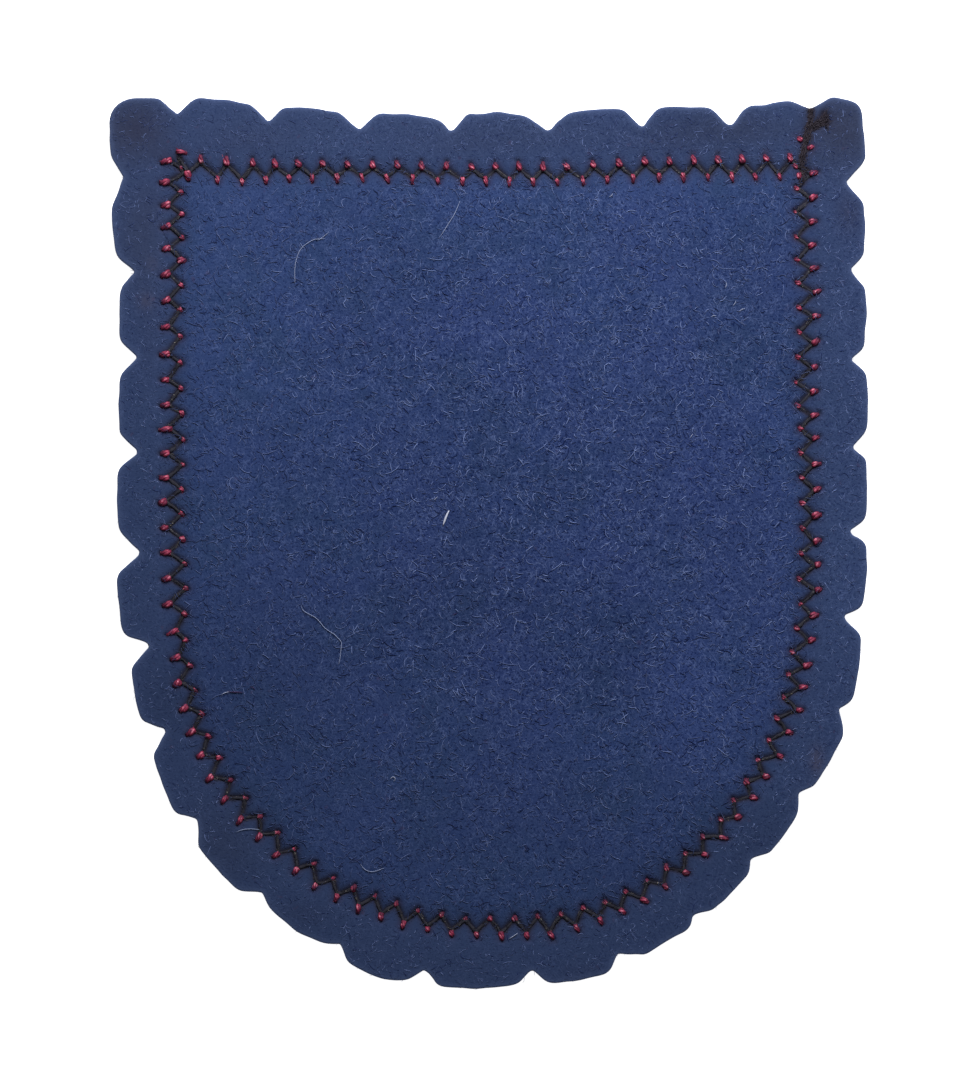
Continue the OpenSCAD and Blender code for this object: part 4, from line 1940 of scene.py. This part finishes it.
PALE_SCRAPS = (
    Scraps("stray_hairs", HAIRS_PX, 0.032 * MM, 0.75),
    Scraps("pale_fleck", FLECK_PX, 0.12 * MM, 0.0),
    Scraps("pale_marks", MARKS_PX, 0.05 * MM, 0.55),
)
LINT_SCRAPS = Scraps("maroon_lint", LINT_PX, 0.06 * MM, 0.6)


@dataclass
class Nap:
    """The felt's loose fibres: layers of short curls, and a few long hairs."""

    felt: FeltSheet
    # How pale a fibre is when it matches the felt
    even: float = 0.13
    lie_length: float = 9 * MM
    lie_change: float = 3.0
    lie_stray: float = 0.9
    crowd_length: float = 4 * MM
    crowd_usual: float = 0.55
    crowd_change: float = 0.35
    length_spread: float = 0.45
    lengths: tuple = (0.4, 3.0)
    curl: float = 0.65
    wobble: float = 0.3
    wobble_pace: float = 6.0
    rises: tuple = (0.4, 1.6)
    clear: float = 0.002 * MM
    # A fibre at the cut edge: how far inside it starts to fall, how steeply and how deep
    fall_from: float = 0.30 * MM
    fall: float = 1.1
    fall_most: float = 1.1 * MM
    pale_shape: tuple = (1.4, 2.2)
    scrap_step: float = 0.2 * MM
    scrap_lift: float = 0.09 * MM
    scrap_ply: float = 0.05
    scrap_taper: float = 0.6 * MM

    def __post_init__(self) -> None:
        """Settles the way the fibres lie and where they crowd, which change slowly over the felt."""
        chance = np.random.default_rng(9)
        self.lie = Waves(chance, self.lie_length)
        self.crowd = Waves(chance, self.crowd_length)

    def build(self, layer: NapLayer, finish: Material) -> Piece:
        """Scatters one layer of short curled fibres.

        Args:
            layer: The layer's place and sizes.
            finish: The fibres' material.

        Returns:
            The piece.
        """
        chance = np.random.default_rng(layer.seed)
        spots = self._scattered(layer, chance)
        count = len(spots)
        length = layer.length * np.clip(chance.lognormal(0, self.length_spread, count), *self.lengths)
        heading = self.lie_change * self.lie.total(spots) / math.sqrt(Waves.COUNT)
        heading += chance.normal(0, self.lie_stray, count)
        curl = chance.normal(0, self.curl, count)
        wobble = chance.normal(0, self.wobble, count)
        t = np.linspace(-0.5, 0.5, layer.rings)
        turn = heading[:, None] + curl[:, None] * t * 2 + wobble[:, None] * np.sin(t * self.wobble_pace)
        step = np.stack([np.cos(turn), np.sin(turn)], -1) * (length / (layer.rings - 1))[:, None, None]
        flat = spots[:, None] + np.cumsum(step, 1) - step.sum(1, keepdims=True) / 2
        rise = layer.rise * chance.uniform(*self.rises, count)[:, None] * (1 - (2 * t) ** 2)
        places = flat.reshape(-1, 2)
        ground = self.felt.covered(places) if layer.zone is Zone.SEAM else self.felt.top(places)
        if layer.zone is Zone.EDGE:
            beyond = np.clip(self.fall_from - self.felt.near_cut.right_of(places), 0, None)
            ground = ground - np.minimum(self.fall * beyond, self.fall_most)
        height = ground.reshape(count, layer.rings) + rise + self.clear
        paths = np.concatenate([flat, height[..., None]], -1)
        thick = layer.radius * chance.uniform(*FIBRE_GIRTHS, count)
        pale = layer.pale * chance.beta(*self.pale_shape, count)
        # The fibres that stay dark paint the shade in the gaps between fibres; the rest are paler
        shown = pale * (chance.uniform(size=count) > layer.shade_share)
        rough = self.felt.rim_nap(spots) if layer.zone is Zone.RIM else self.felt.nap(spots)
        shown = self.even + (np.minimum(shown, 1.0) - self.even) * rough
        return add_fibres(layer.name, paths, thick, 1 - shown, finish)

    def _scattered(self, layer: NapLayer, chance: Chance) -> Array:
        """Finds the places of a layer's fibres, thicker here and thinner there.

        Args:
            layer: The layer.
            chance: Where the places come from.

        Returns:
            The places.
        """
        low, high = self.felt.cut_line.min(0), self.felt.cut_line.max(0)
        out_from, out_to, in_from, in_to = layer.zone.value
        found = np.zeros((0, 2))
        while len(found) < layer.count:
            spots = chance.uniform(low, high, (layer.count * 2, 2))
            crowd = self.crowd.total(spots) / math.sqrt(Waves.COUNT)
            kept = chance.uniform(size=len(spots)) < self.crowd_usual + self.crowd_change * crowd
            spots = spots[kept]
            outside = self.felt.seam.line.outside(spots)
            inside = self.felt.near_cut.right_of(spots)
            wanted = (outside > out_from) & (outside < out_to) & (inside > in_from) & (inside < in_to)
            found = np.vstack([found, spots[wanted]])
        return found[:layer.count]

    def build_scraps(self, scraps: Scraps, finish: Material) -> Piece:
        """Lays single fibres where the photograph shows them.

        Args:
            scraps: The fibres' places and sizes.
            finish: Their material.

        Returns:
            The piece.
        """
        strand = Strand(scraps.radius, plies=2, sides=6, ply_depth=self.scrap_ply, taper=self.scrap_taper)
        bundle = Bundle()
        for spots in scraps.places:
            flat = smooth_path(np.array([place(*spot) for spot in spots]), self.scrap_step)
            height = self.felt.top(flat) + self.scrap_lift
            bundle.add(strand.sweep(np.column_stack([flat, height]), depth=np.full(len(flat), scraps.depth)))
        return bundle.piece(scraps.name, finish)


@dataclass
class Studio:
    """The floor, the soft lights and the camera straight above the patch."""

    focal: float = 100.0
    sensor: float = 36.0
    key_place: tuple = (0.034, 0.18, 0.14)
    key_size: float = 0.12
    key_power: float = 0.80
    sky: float = 0.18
    raised: float = 1.0  # in the photograph's pixels
    near_clip: float = 0.01
    floor_size: float = 3.0

    def build_floor(self, finish: Material) -> Piece:
        """Lays the floor.

        Args:
            finish: The floor's material.

        Returns:
            The floor.
        """
        bpy.ops.object.select_all(action="DESELECT")
        bpy.ops.mesh.primitive_plane_add(size=self.floor_size)
        floor = bpy.context.object
        floor.name = "floor"
        floor.data.materials.append(finish)
        return floor

    def build_lights(self) -> None:
        """Sets the large soft key light and the even light all round."""
        data = bpy.data.lights.new("key", "AREA")
        data.shape = "SQUARE"
        data.size = self.key_size
        data.energy = self.key_power
        key = bpy.data.objects.new("key", data)
        bpy.context.scene.collection.objects.link(key)
        key.location = self.key_place
        key.rotation_euler = Vector(self.key_place).to_track_quat("Z", "Y").to_euler()
        world = bpy.data.worlds.new("soft_sky")
        world.use_nodes = True
        sky = world.node_tree.nodes["Background"].inputs
        sky["Color"].default_value = (1.0, 1.0, 1.0, 1.0)
        sky["Strength"].default_value = self.sky
        bpy.context.scene.world = world

    def build_camera(self) -> None:
        """Hangs the camera over the middle of the photograph's frame."""
        data = bpy.data.cameras.new("camera")
        data.lens = self.focal
        data.sensor_width = self.sensor
        data.clip_start = self.near_clip
        camera = bpy.data.objects.new("camera", data)
        bpy.context.scene.collection.objects.link(camera)
        middle = place(PHOTO_W / 2, PHOTO_H / 2 - self.raised)
        height = self.focal / self.sensor * PHOTO_H * PIXEL
        camera.location = (middle[0], middle[1], height + FeltSheet.thickness)
        bpy.context.scene.camera = camera

    def set_colours(self) -> None:
        """Shows colours plainly, with no film look."""
        bpy.context.scene.view_settings.view_transform = "Standard"


# The threads' finishes: their colour, glints and shadow, roughness and shine, and the glints' pattern
DARK_THREAD = ThreadFinish("dark_thread", linear(49, 49, 57), linear(138, 134, 126), linear(38, 37, 45),
                           0.95, 0.02, Pattern(4.5, 1.0, 0.5, 0.68, 0.80))
LOOSE_THREAD = ThreadFinish("loose_thread", linear(58, 53, 61), linear(70, 65, 72), linear(50, 46, 54),
                            0.95, 0.02, Pattern(4.5, 1.0, 0.5, 0.68, 0.82))
RED_THREAD = ThreadFinish("red_thread", linear(148, 47, 75), linear(220, 146, 166), linear(62, 23, 47),
                          0.6, 0.2, Pattern(4.5, 1.0, 0.5, 0.66, 0.78))
# The nap's dim end is a shade-dark blue that paints the shade between fibres; its pale end is the fibres'
# own lighter colour
NAP_FIBRE = NapFinish("nap_fibre", linear(6, 26, 76), linear(122, 140, 190))
PALE_FIBRE = NapFinish("pale_fibre", linear(112, 128, 168), linear(188, 193, 212))
LINT_FIBRE = NapFinish("lint_fibre", linear(44, 38, 72), linear(72, 54, 92))


def main() -> None:
    """Builds every piece of the patch and its studio, in order."""
    logging.basicConfig(level=logging.INFO, format="%(message)s")
    studio = Studio()
    studio.build_camera()
    studio.set_colours()
    studio.build_floor(FloorFinish().build())
    studio.build_lights()

    seam = ZigzagSeam(SeamLine())
    start = StartingThread()
    felt = FeltSheet(seam, start)
    dark, loose, red = DARK_THREAD.build(), LOOSE_THREAD.build(), RED_THREAD.build()
    nap_blue, pale, lint = NAP_FIBRE.build(), PALE_FIBRE.build(), LINT_FIBRE.build()
    threads = SeamThreads(felt, seam, start)
    nap = Nap(felt)

    pieces = [
        felt.build(FeltFinish().build()),
        threads.build_dark(dark),
        threads.build_loops(red),
        threads.build_under(red),
        threads.build_start(loose),
        threads.build_fuzz(DARK_FUZZ, threads.dark_paths, dark),
        threads.build_fuzz(LOOSE_FUZZ, threads.loose_paths, loose),
        threads.build_fuzz(RED_FUZZ, threads.red_paths, red),
    ]
    pieces += [nap.build(layer, nap_blue) for layer in NAP_LAYERS]
    pieces += [nap.build_scraps(scraps, pale) for scraps in PALE_SCRAPS]
    pieces.append(nap.build_scraps(LINT_SCRAPS, lint))
    for piece in pieces:
        triangles = sum(len(face.vertices) - 2 for face in piece.data.polygons)
        LOG.info("%s: %d triangles", piece.name, triangles)


if __name__ == "__main__":
    main()
